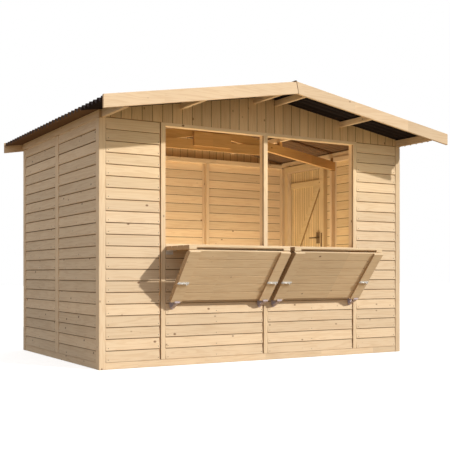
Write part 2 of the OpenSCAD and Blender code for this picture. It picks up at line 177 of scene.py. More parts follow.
def spruce(name, grain, board=0.0, across="z", start=0.0, seam=0.0, tint=(1, 1, 1)):
    """Spruce whose grain runs along one axis. Boards of one pitch lie across it from start,
    and seam is the width of the painted shade line at the far edge of each."""
    paint = bpy.data.materials.new(name)
    paint.use_nodes = True
    nodes = paint.node_tree.nodes
    links = paint.node_tree.links
    shader = nodes["Principled BSDF"]
    place = nodes.new("ShaderNodeTexCoord")
    parts = nodes.new("ShaderNodeSeparateXYZ")
    links.new(place.outputs["Object"], parts.inputs[0])

    def shifted(node, value):
        links.new(value, node.inputs["W"])

    def maths(operation, first, second):
        node = nodes.new("ShaderNodeMath")
        node.operation = operation
        for socket, value in zip(node.inputs, (first, second)):
            if isinstance(value, (int, float)):
                socket.default_value = value
            else:
                links.new(value, socket)
        return node.outputs[0]

    # Each board has its own piece of grain and its own shade
    if board:
        up = maths("MULTIPLY", maths("SUBTRACT", parts.outputs[across.upper()], start), 1 / board)
        row = maths("FLOOR", up, 0)
    else:
        row = maths("FLOOR", maths("MULTIPLY", parts.outputs["X"], 1.7), 0)
    board_shade = nodes.new("ShaderNodeTexWhiteNoise")
    board_shade.noise_dimensions = "1D"
    shifted(board_shade, row)
    offset = maths("MULTIPLY", board_shade.outputs["Value"], 7.0)

    stretch = {"x": (0.9, 16, 16), "y": (16, 0.9, 16), "z": (16, 16, 0.9)}[grain]
    laid = nodes.new("ShaderNodeMapping")
    laid.inputs["Scale"].default_value = stretch
    links.new(place.outputs["Object"], laid.inputs["Vector"])
    rings = nodes.new("ShaderNodeTexNoise")
    rings.noise_dimensions = "4D"
    rings.inputs["Scale"].default_value = 1.6
    rings.inputs["Detail"].default_value = 3
    rings.inputs["Distortion"].default_value = 0.6
    links.new(laid.outputs["Vector"], rings.inputs["Vector"])
    shifted(rings, offset)
    bands = maths("SINE", maths("MULTIPLY", rings.outputs["Fac"], 42.0), 0)
    late_wood = nodes.new("ShaderNodeMapRange")
    late_wood.inputs["From Min"].default_value = -0.2
    late_wood.inputs["From Max"].default_value = 1.0
    late_wood.inputs["To Max"].default_value = 0.30
    links.new(bands, late_wood.inputs["Value"])

    fibre_scale = {"x": (5, 190, 190), "y": (190, 5, 190), "z": (190, 190, 5)}[grain]
    fibre_laid = nodes.new("ShaderNodeMapping")
    fibre_laid.inputs["Scale"].default_value = fibre_scale
    links.new(place.outputs["Object"], fibre_laid.inputs["Vector"])
    fibres = nodes.new("ShaderNodeTexNoise")
    fibres.inputs["Detail"].default_value = 2
    links.new(fibre_laid.outputs["Vector"], fibres.inputs["Vector"])

    colour = nodes.new("ShaderNodeMix")
    colour.data_type = "RGBA"
    colour.inputs["A"].default_value = tuple(c * t for c, t in zip(SPRUCE, tint)) + (1,)
    colour.inputs["B"].default_value = tuple(c * t for c, t in zip(SPRUCE_LATE, tint)) + (1,)
    links.new(late_wood.outputs["Result"], colour.inputs["Factor"])

    # Knots: the middles of a few cells, drawn out a little along the grain
    knot_scale = {"x": (13, 19, 19), "y": (19, 13, 19), "z": (19, 19, 13)}[grain]
    knot_laid = nodes.new("ShaderNodeMapping")
    knot_laid.inputs["Scale"].default_value = knot_scale
    links.new(place.outputs["Object"], knot_laid.inputs["Vector"])
    cells = nodes.new("ShaderNodeTexVoronoi")
    cells.voronoi_dimensions = "4D"
    cells.inputs["Scale"].default_value = 1.0
    links.new(knot_laid.outputs["Vector"], cells.inputs["Vector"])
    shifted(cells, maths("MULTIPLY", row, 3.7))
    chance = nodes.new("ShaderNodeSeparateColor")
    links.new(cells.outputs["Color"], chance.inputs["Color"])
    few = maths("GREATER_THAN", chance.outputs["Red"], 0.57)
    near = nodes.new("ShaderNodeMapRange")
    near.inputs["From Min"].default_value = 0.09
    near.inputs["From Max"].default_value = 0.21
    near.inputs["To Min"].default_value = 0.9
    near.inputs["To Max"].default_value = 0.0
    links.new(cells.outputs["Distance"], near.inputs["Value"])
    knot = maths("MULTIPLY", near.outputs["Result"], few)
    knotted = nodes.new("ShaderNodeMix")
    knotted.data_type = "RGBA"
    knotted.inputs["B"].default_value = SPRUCE_KNOT + (1,)
    links.new(colour.outputs["Result"], knotted.inputs["A"])
    links.new(knot, knotted.inputs["Factor"])

    # Painted shade: the dark line where a board meets the next one, for the shade in the joint
    surface = knotted.outputs["Result"]
    if seam:
        line = nodes.new("ShaderNodeMapRange")
        line.inputs["From Min"].default_value = 1 - seam / board
        line.inputs["From Max"].default_value = 1 - 0.7 * seam / board
        line.inputs["To Max"].default_value = 0.85
        links.new(maths("FRACT", up, 0), line.inputs["Value"])
        seamed = nodes.new("ShaderNodeMix")
        seamed.data_type = "RGBA"
        seamed.inputs["B"].default_value = SEAM_SHADE + (1,)
        links.new(surface, seamed.inputs["A"])
        links.new(line.outputs["Result"], seamed.inputs["Factor"])
        surface = seamed.outputs["Result"]

    # End grain is darker than the faces along the board
    facing = nodes.new("ShaderNodeSeparateXYZ")
    links.new(place.outputs["Normal"], facing.inputs[0])
    cross_cut = nodes.new("ShaderNodeMapRange")
    cross_cut.inputs["From Min"].default_value = 0.8
    cross_cut.inputs["From Max"].default_value = 0.95
    cross_cut.inputs["To Max"].default_value = 0.68
    links.new(maths("ABSOLUTE", facing.outputs[grain.upper()], 0), cross_cut.inputs["Value"])
    sawn = nodes.new("ShaderNodeMix")
    sawn.data_type = "RGBA"
    sawn.inputs["B"].default_value = (0.36, 0.20, 0.09, 1)
    links.new(surface, sawn.inputs["A"])
    links.new(cross_cut.outputs["Result"], sawn.inputs["Factor"])
    surface = sawn.outputs["Result"]

    # Shade from board to board, and soft cloudy patches along each one
    patch = nodes.new("ShaderNodeTexNoise")
    patch.inputs["Scale"].default_value = 2.3
    patch.inputs["Detail"].default_value = 2
    links.new(place.outputs["Object"], patch.inputs["Vector"])
    shade = maths("ADD", maths("MULTIPLY", board_shade.outputs["Value"], 0.16),
                  maths("MULTIPLY", patch.outputs["Fac"], 0.16))
    level = maths("SUBTRACT", 1.12, shade)
    weathered = nodes.new("ShaderNodeMix")
    weathered.data_type = "RGBA"
    weathered.blend_type = "MULTIPLY"
    weathered.inputs["Factor"].default_value = 1
    grey = nodes.new("ShaderNodeCombineColor")
    for channel in ("Red", "Green", "Blue"):
        links.new(level, grey.inputs[channel])
    links.new(surface, weathered.inputs["A"])
    links.new(grey.outputs["Color"], weathered.inputs["B"])
    links.new(weathered.outputs["Result"], shader.inputs["Base Color"])

    relief = nodes.new("ShaderNodeBump")
    relief.inputs["Strength"].default_value = 0.25
    relief.inputs["Distance"].default_value = 0.0006
    links.new(maths("ADD", fibres.outputs["Fac"], maths("MULTIPLY", bands, 0.3)), relief.inputs["Height"])
    links.new(relief.outputs["Normal"], shader.inputs["Normal"])
    rough = nodes.new("ShaderNodeMapRange")
    rough.inputs["To Min"].default_value = 0.58
    rough.inputs["To Max"].default_value = 0.78
    links.new(fibres.outputs["Fac"], rough.inputs["Value"])
    links.new(rough.outputs["Result"], shader.inputs["Roughness"])
    shader.inputs["Specular IOR Level"].default_value = 0.3
    return paint


def new_piece(name, shape, paints, body, replaced=()):
    """Turns a bmesh into a finished piece at the origin and hands it to the frame."""
    mesh = bpy.data.meshes.new(name)
    shape.to_mesh(mesh)
    shape.free()
    for paint in paints:
        mesh.materials.append(paint)
    piece = bpy.data.objects.new(name, mesh)
    bpy.context.scene.collection.objects.link(piece)
    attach(piece, body)
    if replaced:
        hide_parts(*replaced)
    return piece


def eased(node):
    """A merged copy of a node's mesh with its straight edges eased."""
    shape = bmesh.new()
    shape.from_mesh(frame["nodes"][node].data)
    bmesh.ops.remove_doubles(shape, verts=shape.verts, dist=0.00005)
    bmesh.ops.dissolve_limit(shape, angle_limit=math.radians(2), verts=shape.verts, edges=shape.edges)
    sharp = [e for e in shape.edges if e.is_manifold and e.calc_face_angle(0) > math.radians(30)]
    bmesh.ops.bevel(shape, geom=sharp, offset=EASED_EDGE, segments=2, affect="EDGES",
                    clamp_overlap=True)
    return shape


def timber(name, node, paint):
    """A planed timber piece that stands for one node."""
    body = frame["nodes"][node]["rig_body"]
    return new_piece(name, eased(node), [paint], body, [node])


spruce_x = spruce("spruce_along_front", "x")
spruce_y = spruce("spruce_along_side", "y")
spruce_z = spruce("spruce_upright", "z")


def block(shape, low, high, edge=EASED_EDGE):
    """Adds an upright box with eased edges to a shape."""
    made = bmesh.ops.create_cube(shape, size=1)
    size = Vector(high) - Vector(low)
    middle = (Vector(high) + Vector(low)) / 2
    bmesh.ops.scale(shape, vec=size, verts=made["verts"])
    bmesh.ops.translate(shape, vec=middle, verts=made["verts"])
    edges = {e for v in made["verts"] for e in v.link_edges}
    bmesh.ops.bevel(shape, geom=list(edges), offset=edge, segments=2, affect="EDGES", clamp_overlap=True)


timber("front_rail", "base_rail_front", spruce_x)
timber("rear_rail", "base_rail_rear", spruce_x)
timber("left_rail", "base_rail_left", spruce_y)
timber("right_rail", "base_rail_right", spruce_y)

# Posts: planed spruce, upright, between and at the ends of the wall panels. The
# window and door posts show their whole depth in the openings.
ROOF_PITCH = math.radians(9.6)
RIDGE_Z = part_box("front_bargeboards")[1].z
WALL_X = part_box("corner_posts")[1].x
BOARD_DEPTH = 0.020
FRAME_DEPTH = 0.046
STUD_WIDE = 0.034


def roof_z(x, depth):
    """Height of a plane that lies square below the bargeboards' top edge."""
    return RIDGE_Z - abs(x) * math.tan(ROOF_PITCH) - depth / math.cos(ROOF_PITCH)


timber("corners", "corner_posts", spruce_z)
POST_JOINT = 0.016
joint_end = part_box("window_posts")[0].y + BOARD_DEPTH
# Painted shade: a dark line runs down each post's side faces just behind its front, where a joint's shade
# falls
post_wood = spruce("window_post_spruce", "z", FRAME_DEPTH * 2, "y", joint_end - FRAME_DEPTH * 2,
                   POST_JOINT, (1.06, 1.06, 1.05))
timber("window_uprights", "window_posts", post_wood)
timber("window_rail", "window_header", spruce_x)
timber("sills", "window_sills", spruce_x)

# Posts between panels: a flat board outside, over the joint of the lap boards, and a
# narrower stud behind it inside.
side_shape = bmesh.new()
side_low, side_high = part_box("side_posts")
side_middle = (side_low.y + side_high.y) / 2
for side in (-1, 1):
    strip = sorted((side * WALL_X, side * (WALL_X - BOARD_DEPTH)))
    stud = sorted((side * (WALL_X - BOARD_DEPTH), side * (WALL_X - BOARD_DEPTH - FRAME_DEPTH)))
    block(side_shape, (strip[0], side_low.y, side_low.z), (strip[1], side_high.y, roof_z(WALL_X, 0.101)))
    block(side_shape, (stud[0], side_middle - STUD_WIDE / 2, side_low.z),
          (stud[1], side_middle + STUD_WIDE / 2, roof_z(WALL_X, 0.212)))
new_piece("side_uprights", side_shape, [spruce_z], "kiosk", ["side_posts"])
rear_shape = bmesh.new()
rear_low, rear_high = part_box("back_posts")
plate_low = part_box("back_wall")[1].z - 0.046
for x in (rear_low.x, rear_high.x - 0.080):
    block(rear_shape, (x, rear_high.y - BOARD_DEPTH, rear_low.z), (x + 0.080, rear_high.y, rear_high.z))
    block(rear_shape, (x + 0.040 - STUD_WIDE / 2, rear_low.y, rear_low.z),
          (x + 0.040 + STUD_WIDE / 2, rear_high.y - BOARD_DEPTH, plate_low))
new_piece("rear_uprights", rear_shape, [spruce_z], "kiosk", ["back_posts"])

# Door frame: two posts and a head, each with a stop strip nailed on behind the leaf.
DOOR_GAP = 0.006
STOP_WIDE = 0.010
# The door frame is tinted yellower and a little darker, as painted shade for the dim, warm light in the room
timber("door_uprights", "door_posts", spruce("door_post_spruce", "z", tint=(0.94, 0.93, 0.82)))
timber("door_lintel", "door_head", spruce("door_head_spruce", "y", tint=(0.94, 0.93, 0.82)))
leaf_low, leaf_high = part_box("door_leaf")
stop_x = (leaf_low.x - FRAME_DEPTH, leaf_low.x - DOOR_GAP)
stops = bmesh.new()
block(stops, (stop_x[0], leaf_low.y - DOOR_GAP, leaf_low.z - 0.006),
      (stop_x[1], leaf_low.y + 0.0005, leaf_high.z))
block(stops, (stop_x[0], leaf_high.y - STOP_WIDE, leaf_low.z - 0.006),
      (stop_x[1], leaf_high.y + DOOR_GAP, leaf_high.z))
block(stops, (stop_x[0], leaf_low.y - DOOR_GAP, leaf_high.z - STOP_WIDE),
      (stop_x[1], leaf_high.y + DOOR_GAP, leaf_high.z + DOOR_GAP))
new_piece("door_stops", stops, [spruce_z], "kiosk")

# Plates and top boards: planed timbers under the roof along the walls. The plates lie
# inside on the studs, the top boards outside, over the ends of the lap boards.
SHEET_LOW = 0.0385
PURLIN_WIDE = 0.032
PURLIN_HIGH = 0.0465
EAVE_FACE = WALL_X - BOARD_DEPTH - 0.0003
purlin_foot = roof_z(EAVE_FACE, SHEET_LOW) - PURLIN_HIGH
PLATE_HIGH = 0.046


def islands(node):
    """The boxes of a node's separate solids, in order along X and then Y."""
    shape = bmesh.new()
    shape.from_mesh(frame["nodes"][node].data)
    bmesh.ops.remove_doubles(shape, verts=shape.verts, dist=0.00005)
    left = set(shape.verts)
    boxes = []
    while left:
        front = [left.pop()]
        group = []
        while front:
            vert = front.pop()
            group.append(vert.co.copy())
            for edge in vert.link_edges:
                other = edge.other_vert(vert)
                if other in left:
                    left.remove(other)
                    front.append(other)
        boxes.append((Vector(map(min, zip(*group))), Vector(map(max, zip(*group)))))
    shape.free()
    return sorted(boxes, key=lambda b: (round(b[0].x, 3), round(b[0].y, 3)))


side_plates = bmesh.new()
cross_plates = bmesh.new()
for low, high in islands("wall_plates"):
    if high.x - low.x < 0.06:
        block(side_plates, (low.x, low.y, purlin_foot - PLATE_HIGH), (high.x, high.y, purlin_foot))
    else:
        block(cross_plates, low, high)
new_piece("side_plates", side_plates, [spruce_y], "kiosk", ["wall_plates"])
new_piece("cross_plates", cross_plates, [spruce_x], "kiosk")
top_boards = bmesh.new()
wall_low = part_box("left_wall")[0]
wall_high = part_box("left_wall")[1]
for side in (-1, 1):
    reach = sorted((side * WALL_X, side * (WALL_X - BOARD_DEPTH)))
    block(top_boards, (reach[0], wall_low.y - 0.066, wall_high.z + 0.0005),
          (reach[1], wall_high.y + 0.066, roof_z(WALL_X, SHEET_LOW)))
new_piece("top_boards", top_boards, [spruce_y], "kiosk")

# Lap boards: sawn boards of 88 mm cover, each lying over the one below it, nailed to
# the frame behind. One board is drawn and repeated up each panel.
LAP_ROWS = 21
LAP_PITCH = (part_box("front_panels")[1].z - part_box("front_panels")[0].z) / LAP_ROWS
LAP_LIP = 0.009
LAP_TOP = 0.017
LAP_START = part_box("front_panels")[0].z
LAP_SEAM = 0.007
BOARD_END_GAP = 0.003
PANEL_GAP = 0.011


def socket_of(tree, name):
    """The identifier of a tree's named input, for setting it on a modifier."""
    return next(i.identifier for i in tree.interface.items_tree if i.name == name and i.in_out == "INPUT")


def stacking_tree():
    """Repeats the piece that it gets upwards, each copy turned and set a touch differently."""
    tree = bpy.data.node_groups.new("stacked_boards", "GeometryNodeTree")
    tree.interface.new_socket("Board", in_out="INPUT", socket_type="NodeSocketGeometry")
    tree.interface.new_socket("Rows", in_out="INPUT", socket_type="NodeSocketInt")
    tree.interface.new_socket("Pitch", in_out="INPUT", socket_type="NodeSocketFloat")
    tree.interface.new_socket("Play", in_out="INPUT", socket_type="NodeSocketFloat")
    tree.interface.new_socket("Finish", in_out="INPUT", socket_type="NodeSocketMaterial")
    tree.interface.new_socket("Boards", in_out="OUTPUT", socket_type="NodeSocketGeometry")
    nodes = tree.nodes
    links = tree.links
    given = nodes.new("NodeGroupInput")
    made = nodes.new("NodeGroupOutput")
    step = nodes.new("ShaderNodeCombineXYZ")
    links.new(given.outputs["Pitch"], step.inputs["Z"])
    line = nodes.new("GeometryNodeMeshLine")
    links.new(given.outputs["Rows"], line.inputs["Count"])
    links.new(step.outputs[0], line.inputs["Offset"])
    turn = nodes.new("FunctionNodeRandomValue")
    turn.data_type = "FLOAT_VECTOR"
    turn.inputs["Seed"].default_value = 7
    reach = nodes.new("ShaderNodeCombineXYZ")
    links.new(given.outputs["Play"], reach.inputs["Y"])
    back = nodes.new("ShaderNodeVectorMath")
    back.operation = "SCALE"
    back.inputs["Scale"].default_value = -1
    links.new(reach.outputs[0], back.inputs[0])
    links.new(back.outputs[0], turn.inputs[0])
    links.new(reach.outputs[0], turn.inputs[1])
    stack = nodes.new("GeometryNodeInstanceOnPoints")
    links.new(line.outputs["Mesh"], stack.inputs["Points"])
    links.new(given.outputs["Board"], stack.inputs["Instance"])
    links.new(turn.outputs[0], stack.inputs["Rotation"])
    real = nodes.new("GeometryNodeRealizeInstances")
    finish = nodes.new("GeometryNodeSetMaterial")
    links.new(stack.outputs[0], real.inputs[0])
    links.new(real.outputs[0], finish.inputs["Geometry"])
    links.new(given.outputs["Finish"], finish.inputs["Material"])
    links.new(finish.outputs[0], made.inputs[0])
    return tree


def grown(mesh, tree, settings):
    """Runs a tree on a mesh and returns the result as a plain mesh."""
    seed = bpy.data.objects.new("seed", mesh)
    bpy.context.scene.collection.objects.link(seed)
    modifier = seed.modifiers.new("grow", "NODES")
    modifier.node_group = tree
    for name, value in settings.items():
        modifier[socket_of(tree, name)] = value
    bpy.context.view_layer.update()
    graph = bpy.context.evaluated_depsgraph_get()
    result = bpy.data.meshes.new_from_object(seed.evaluated_get(graph), depsgraph=graph)
    seed.modifiers.remove(modifier)
    bpy.data.objects.remove(seed)
    return result


def lap_board(length, thick, near_gap, far_gap):
    """One board along +X, its outer face towards -Y and its lower edge at z = 0."""
    outline = [(0, 0.002), (0.002, 0), (thick - 0.003, 0), (thick, 0.003), (thick, LAP_PITCH - 0.001),
               (LAP_TOP, LAP_PITCH + 0.004), (LAP_LIP, LAP_PITCH + 0.004)]
    shape = bmesh.new()
    ends = []
    for x in (near_gap, length - far_gap):
        ends.append([shape.verts.new((x, y, z)) for y, z in outline])
    shape.faces.new(ends[0])
    shape.faces.new(list(reversed(ends[1])))
    for i in range(len(outline)):
        j = (i + 1) % len(outline)
        shape.faces.new((ends[0][i], ends[1][i], ends[1][j], ends[0][j]))
    bmesh.ops.recalc_face_normals(shape, faces=shape.faces)
    mesh = bpy.data.meshes.new("lap_board")
    shape.to_mesh(mesh)
    shape.free()
    return mesh


stacked_boards = stacking_tree()


def lap_panel(shape, corner, turn, length, height, thick, finish, near_gap=BOARD_END_GAP,
              far_gap=BOARD_END_GAP):
    """Adds one panel of lap boards to a shape, cut off level at its height."""
    rows = math.ceil(height / LAP_PITCH - 0.01)
    mesh = grown(lap_board(length, thick, near_gap, far_gap), stacked_boards,
                 {"Rows": rows, "Pitch": LAP_PITCH, "Play": 0.0012, "Finish": finish})
    panel = bmesh.new()
    panel.from_mesh(mesh)
    cut = bmesh.ops.bisect_plane(panel, geom=panel.verts[:] + panel.edges[:] + panel.faces[:],
                                 plane_co=(0, 0, height), plane_no=(0, 0, 1), clear_outer=True)
    rim = [e for e in cut["geom_cut"] if isinstance(e, bmesh.types.BMEdge)]
    bmesh.ops.holes_fill(panel, edges=rim)
    bmesh.ops.transform(panel, matrix=Matrix.Translation(corner) @ Matrix.Rotation(turn, 4, "Z"),
                        verts=panel.verts)
    panel.to_mesh(mesh)
    panel.free()
    shape.from_mesh(mesh)


# Each lap board carries a painted shade line just under the lip of the board above it
lap_x = spruce("lap_boards_along_front", "x", LAP_PITCH, "z", LAP_START, LAP_SEAM)
lap_y = spruce("lap_boards_along_side", "y", LAP_PITCH, "z", LAP_START, LAP_SEAM)
# The door side's boards are tinted yellower and a little darker, as painted shade for the dim, warm light in
# the room
lap_right = spruce("lap_boards_door_side", "y", LAP_PITCH, "z", LAP_START, LAP_SEAM, (0.95, 0.94, 0.84))


def lap_wall(name, node, facing, finish):
    """All lap-board panels of one node; facing is front, rear, left or right."""
    shape = bmesh.new()
    for low, high in islands(node):
        size = high - low
        if facing == "front":
            far = PANEL_GAP if high.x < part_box("window_posts")[1].x else BOARD_END_GAP
            lap_panel(shape, (low.x, low.y, low.z), 0, size.x, size.z, size.y, finish, far_gap=far)
        elif facing == "rear":
            lap_panel(shape, (high.x, high.y, low.z), math.pi, size.x, size.z, size.y, finish)
        elif facing == "left":
            lap_panel(shape, (low.x, high.y, low.z), -math.pi / 2, size.y, size.z, size.x, finish)
        else:
            lap_panel(shape, (high.x, low.y, low.z), math.pi / 2, size.y, size.z, size.x, finish)
    return new_piece(name, shape, [finish], "kiosk", [node])


lap_wall("front_lap_boards", "front_panels", "front", lap_x)
lap_wall("counter_lap_boards", "counter_walls", "front", lap_x)
lap_wall("rear_lap_boards", "back_wall", "rear", lap_x)
lap_wall("left_lap_boards", "left_wall", "left", lap_y)
lap_wall("right_lap_boards", "right_wall", "right", lap_right)

# Purlins: six sawn timbers on edge, laid plumb, which carry the roof sheets and run out
# through the gables under the front overhang.
purlin_low, purlin_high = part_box("eave_purlins")


def purlin_pair(name, node, face, packing=0.0):
    """Two plumb purlins whose outer faces lie at face from the middle. Packing is the
    height of a strip nailed on underneath them in the front overhang."""
    shape = bmesh.new()
    top = roof_z(face, SHEET_LOW)
    for side in (-1, 1):
        across = sorted((side * face, side * (face - PURLIN_WIDE)))
        block(shape, (across[0], purlin_low.y, top - PURLIN_HIGH), (across[1], purlin_high.y, top))
        if packing:
            foot = top - PURLIN_HIGH
            block(shape, (across[0], purlin_low.y, foot - packing),
                  (across[1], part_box("corner_posts")[0].y, foot))
    new_piece(name, shape, [spruce_y], "kiosk", [node])


MID_FACE = 0.816
RIDGE_FACE = 0.124
purlin_pair("eave_timbers", "eave_purlins", EAVE_FACE, 0.014)
purlin_pair("mid_timbers", "mid_purlins", MID_FACE)
purlin_pair("ridge_timbers", "ridge_purlins", RIDGE_FACE)

# Truss: two sawn rafters with packing blocks under the purlins, a collar tie and a
# board over its middle. The truss timber is tinted darker than the boards, as painted
# shade under the roof.
RAFTER_TOP = 0.1255
RAFTER_LOW = 0.2135
truss_painted_shade = spruce("truss_timber", "x", tint=(0.80, 0.64, 0.42))


def prism(shape, outline, y0, y1):
    """Adds a plate to a shape, drawn as an outline in x and z, from y0 to y1."""
    near = [shape.verts.new((x, y0, z)) for x, z in outline]
    far = [shape.verts.new((x, y1, z)) for x, z in outline]
    faces = [shape.faces.new(near), shape.faces.new(list(reversed(far)))]
    for i in range(len(outline)):
        j = (i + 1) % len(outline)
        faces.append(shape.faces.new((near[j], near[i], far[i], far[j])))
    bmesh.ops.recalc_face_normals(shape, faces=faces)
    edges = {e for v in near + far for e in v.link_edges}
    bmesh.ops.bevel(shape, geom=list(edges), offset=EASED_EDGE, segments=2, affect="EDGES",
                    clamp_overlap=True)


def rafter(name, node, side):
    shape = bmesh.new()
    low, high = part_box(node)
    end = WALL_X - BOARD_DEPTH
    outline = [(0.0004, RAFTER_LOW), (end, RAFTER_LOW), (end, RAFTER_TOP), (0.0004, RAFTER_TOP)]
    prism(shape, [(side * x, roof_z(x, depth)) for x, depth in outline], low.y, high.y)
    for face in (EAVE_FACE, MID_FACE, RIDGE_FACE):
        across = sorted((side * face, side * (face - PURLIN_WIDE)))
        block(shape, (across[0], low.y + 0.001, roof_z(face, RAFTER_TOP) - 0.004),
              (across[1], high.y - 0.001, roof_z(face, SHEET_LOW) - PURLIN_HIGH))
    new_piece(name, shape, [truss_painted_shade], "kiosk", [node])


rafter("left_rafter", "truss_rafter_left", -1)
rafter("right_rafter", "truss_rafter_right", 1)
timber("tie_beam", "collar_tie", truss_painted_shade)
timber("tie_board", "truss_gusset", truss_painted_shade)

# Bargeboards: planed boards that close the roof front and rear, sunlit and pale. At the
# ridge the left one is cut square and the right one is fitted to it.
BARGE_WIDE = 0.096
JOINT_TOP = -0.010
JOINT_FOOT = 0.012
JOINT_GAP = 0.0035
barge_wood = spruce("bargeboard_spruce", "x", tint=(1.0, 0.98, 0.96))


def bargeboards(name, node):
    low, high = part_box(node)
    shape = bmesh.new()
    left = [(low.x, BARGE_WIDE), (0, BARGE_WIDE), (JOINT_FOOT, BARGE_WIDE), (JOINT_TOP, 0), (low.x, 0)]
    right = [(high.x, 0), (0, 0), (JOINT_TOP + JOINT_GAP, 0), (JOINT_FOOT + JOINT_GAP, BARGE_WIDE),
             (high.x, BARGE_WIDE)]
    for outline in (left, right):
        prism(shape, [(x, roof_z(x, depth)) for x, depth in outline], low.y, high.y)
    new_piece(name, shape, [barge_wood], "kiosk", [node])


bargeboards("front_barge", "front_bargeboards")
bargeboards("rear_barge", "rear_bargeboards")

# Gables: upright tongued boards over the walls, cut to the roof line, with a fine
# groove at each joint. One board is drawn, repeated along the wall and cut to the slope.
GABLE_BOARD = 0.088
GROOVE = 0.0022
GABLE_SEAM = 0.005
GABLE_END = WALL_X - 0.054


def gable_tree():
    """Repeats an upright board along X and lowers its top to the roof line."""
    tree = bpy.data.node_groups.new("gable_boards", "GeometryNodeTree")
    tree.interface.new_socket("Board", in_out="INPUT", socket_type="NodeSocketGeometry")
    tree.interface.new_socket("Count", in_out="INPUT", socket_type="NodeSocketInt")
    tree.interface.new_socket("Width", in_out="INPUT", socket_type="NodeSocketFloat")
    tree.interface.new_socket("First", in_out="INPUT", socket_type="NodeSocketFloat")
    tree.interface.new_socket("Peak", in_out="INPUT", socket_type="NodeSocketFloat")
    tree.interface.new_socket("Slope", in_out="INPUT", socket_type="NodeSocketFloat")
    tree.interface.new_socket("Finish", in_out="INPUT", socket_type="NodeSocketMaterial")
    tree.interface.new_socket("Boards", in_out="OUTPUT", socket_type="NodeSocketGeometry")
    nodes = tree.nodes
    links = tree.links

    def maths(operation, *values):
        node = nodes.new("ShaderNodeMath")
        node.operation = operation
        for socket, value in zip(node.inputs, values):
            links.new(value, socket)
        return node.outputs[0]

    given = nodes.new("NodeGroupInput")
    made = nodes.new("NodeGroupOutput")
    start = nodes.new("ShaderNodeCombineXYZ")
    links.new(given.outputs["First"], start.inputs["X"])
    step = nodes.new("ShaderNodeCombineXYZ")
    links.new(given.outputs["Width"], step.inputs["X"])
    line = nodes.new("GeometryNodeMeshLine")
    links.new(given.outputs["Count"], line.inputs["Count"])
    links.new(start.outputs[0], line.inputs["Start Location"])
    links.new(step.outputs[0], line.inputs["Offset"])
    row = nodes.new("GeometryNodeInstanceOnPoints")
    links.new(line.outputs["Mesh"], row.inputs["Points"])
    links.new(given.outputs["Board"], row.inputs["Instance"])
    real = nodes.new("GeometryNodeRealizeInstances")
    links.new(row.outputs[0], real.inputs[0])
    place = nodes.new("GeometryNodeInputPosition")
    parts = nodes.new("ShaderNodeSeparateXYZ")
    links.new(place.outputs[0], parts.inputs[0])
    away = nodes.new("ShaderNodeMath")
    away.operation = "ABSOLUTE"
    links.new(parts.outputs["X"], away.inputs[0])
    limit = maths("SUBTRACT", given.outputs["Peak"],
                  maths("MULTIPLY", away.outputs[0], given.outputs["Slope"]))
    cut = nodes.new("ShaderNodeCombineXYZ")
    links.new(parts.outputs["X"], cut.inputs["X"])
    links.new(parts.outputs["Y"], cut.inputs["Y"])
    links.new(maths("MINIMUM", parts.outputs["Z"], limit), cut.inputs["Z"])
    lower = nodes.new("GeometryNodeSetPosition")
    links.new(real.outputs[0], lower.inputs["Geometry"])
    links.new(cut.outputs[0], lower.inputs["Position"])
    finish = nodes.new("GeometryNodeSetMaterial")
    links.new(lower.outputs[0], finish.inputs["Geometry"])
    links.new(given.outputs["Finish"], finish.inputs["Material"])
    links.new(finish.outputs[0], made.inputs[0])
    return tree


def grooved_board(width, thick, low, high, groove=GROOVE):
    """An upright board from x = 0 whose four long edges are taken off."""
    outline = [(groove, 0), (width - groove, 0), (width, groove), (width, thick - groove),
               (width - groove, thick), (groove, thick), (0, thick - groove), (0, groove)]
    shape = bmesh.new()
    ends = [[shape.verts.new((x, y, z)) for x, y in outline] for z in (low, high)]
    shape.faces.new(reversed(ends[0]))
    shape.faces.new(ends[1])
    for i in range(len(outline)):
        j = (i + 1) % len(outline)
        shape.faces.new((ends[0][i], ends[0][j], ends[1][j], ends[1][i]))
    mesh = bpy.data.meshes.new("upright_board")
    shape.to_mesh(mesh)
    shape.free()
    return mesh


gable_boards = gable_tree()
# Painted shade: the gable boards are tinted darker for the shade under the overhang, and a dark line is
# painted at each joint
gable_wood_painted_shade = spruce("gable_spruce", "z", GABLE_BOARD, "x", GABLE_SEAM / 2, GABLE_SEAM,
                    (0.90, 0.83, 0.73))


def gable(name, node):
    low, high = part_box(node)
    count = math.ceil(GABLE_END / GABLE_BOARD)
    side = 1 if high.x > 1 else -1
    first = 0 if side > 0 else -count * GABLE_BOARD
    board = grooved_board(GABLE_BOARD - 0.0004, high.y - low.y, low.z, high.z + 0.01)
    board.transform(Matrix.Translation((0, low.y, 0)))
    mesh = grown(board, gable_boards,
                 {"Count": count, "Width": GABLE_BOARD, "First": first, "Peak": high.z,
                  "Slope": math.tan(ROOF_PITCH), "Finish": gable_wood_painted_shade})
    shape = bmesh.new()
    shape.from_mesh(mesh)
    # The outermost board is sawn off beside the eave purlin
    cut = bmesh.ops.bisect_plane(shape, geom=shape.verts[:] + shape.edges[:] + shape.faces[:],
                                 plane_co=(side * GABLE_END, 0, 0), plane_no=(side, 0, 0), clear_outer=True)
    rim = [e for e in cut["geom_cut"] if isinstance(e, bmesh.types.BMEdge)]
    bmesh.ops.holes_fill(shape, edges=rim)
    new_piece(name, shape, [gable_wood_painted_shade], "kiosk", [node])


gable("front_gable_boards_left", "front_gable_left")
gable("front_gable_boards_right", "front_gable_right")
gable("rear_gable_boards_left", "back_gable_left")
gable("rear_gable_boards_right", "back_gable_right")

# Roof sheets: corrugated bitumen sheets, matte and nearly black, three side by side on
# each slope, each lapped over the last.
WAVE_PITCH = 0.076
WAVE_HEIGHT = 0.032
SHEET_THICK = 0.003
SHEET_DROP = 0.003
SHEETS = 3
SHEET_LAP = 0.076
EAVE_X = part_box("roof_sheet_right")[1].x


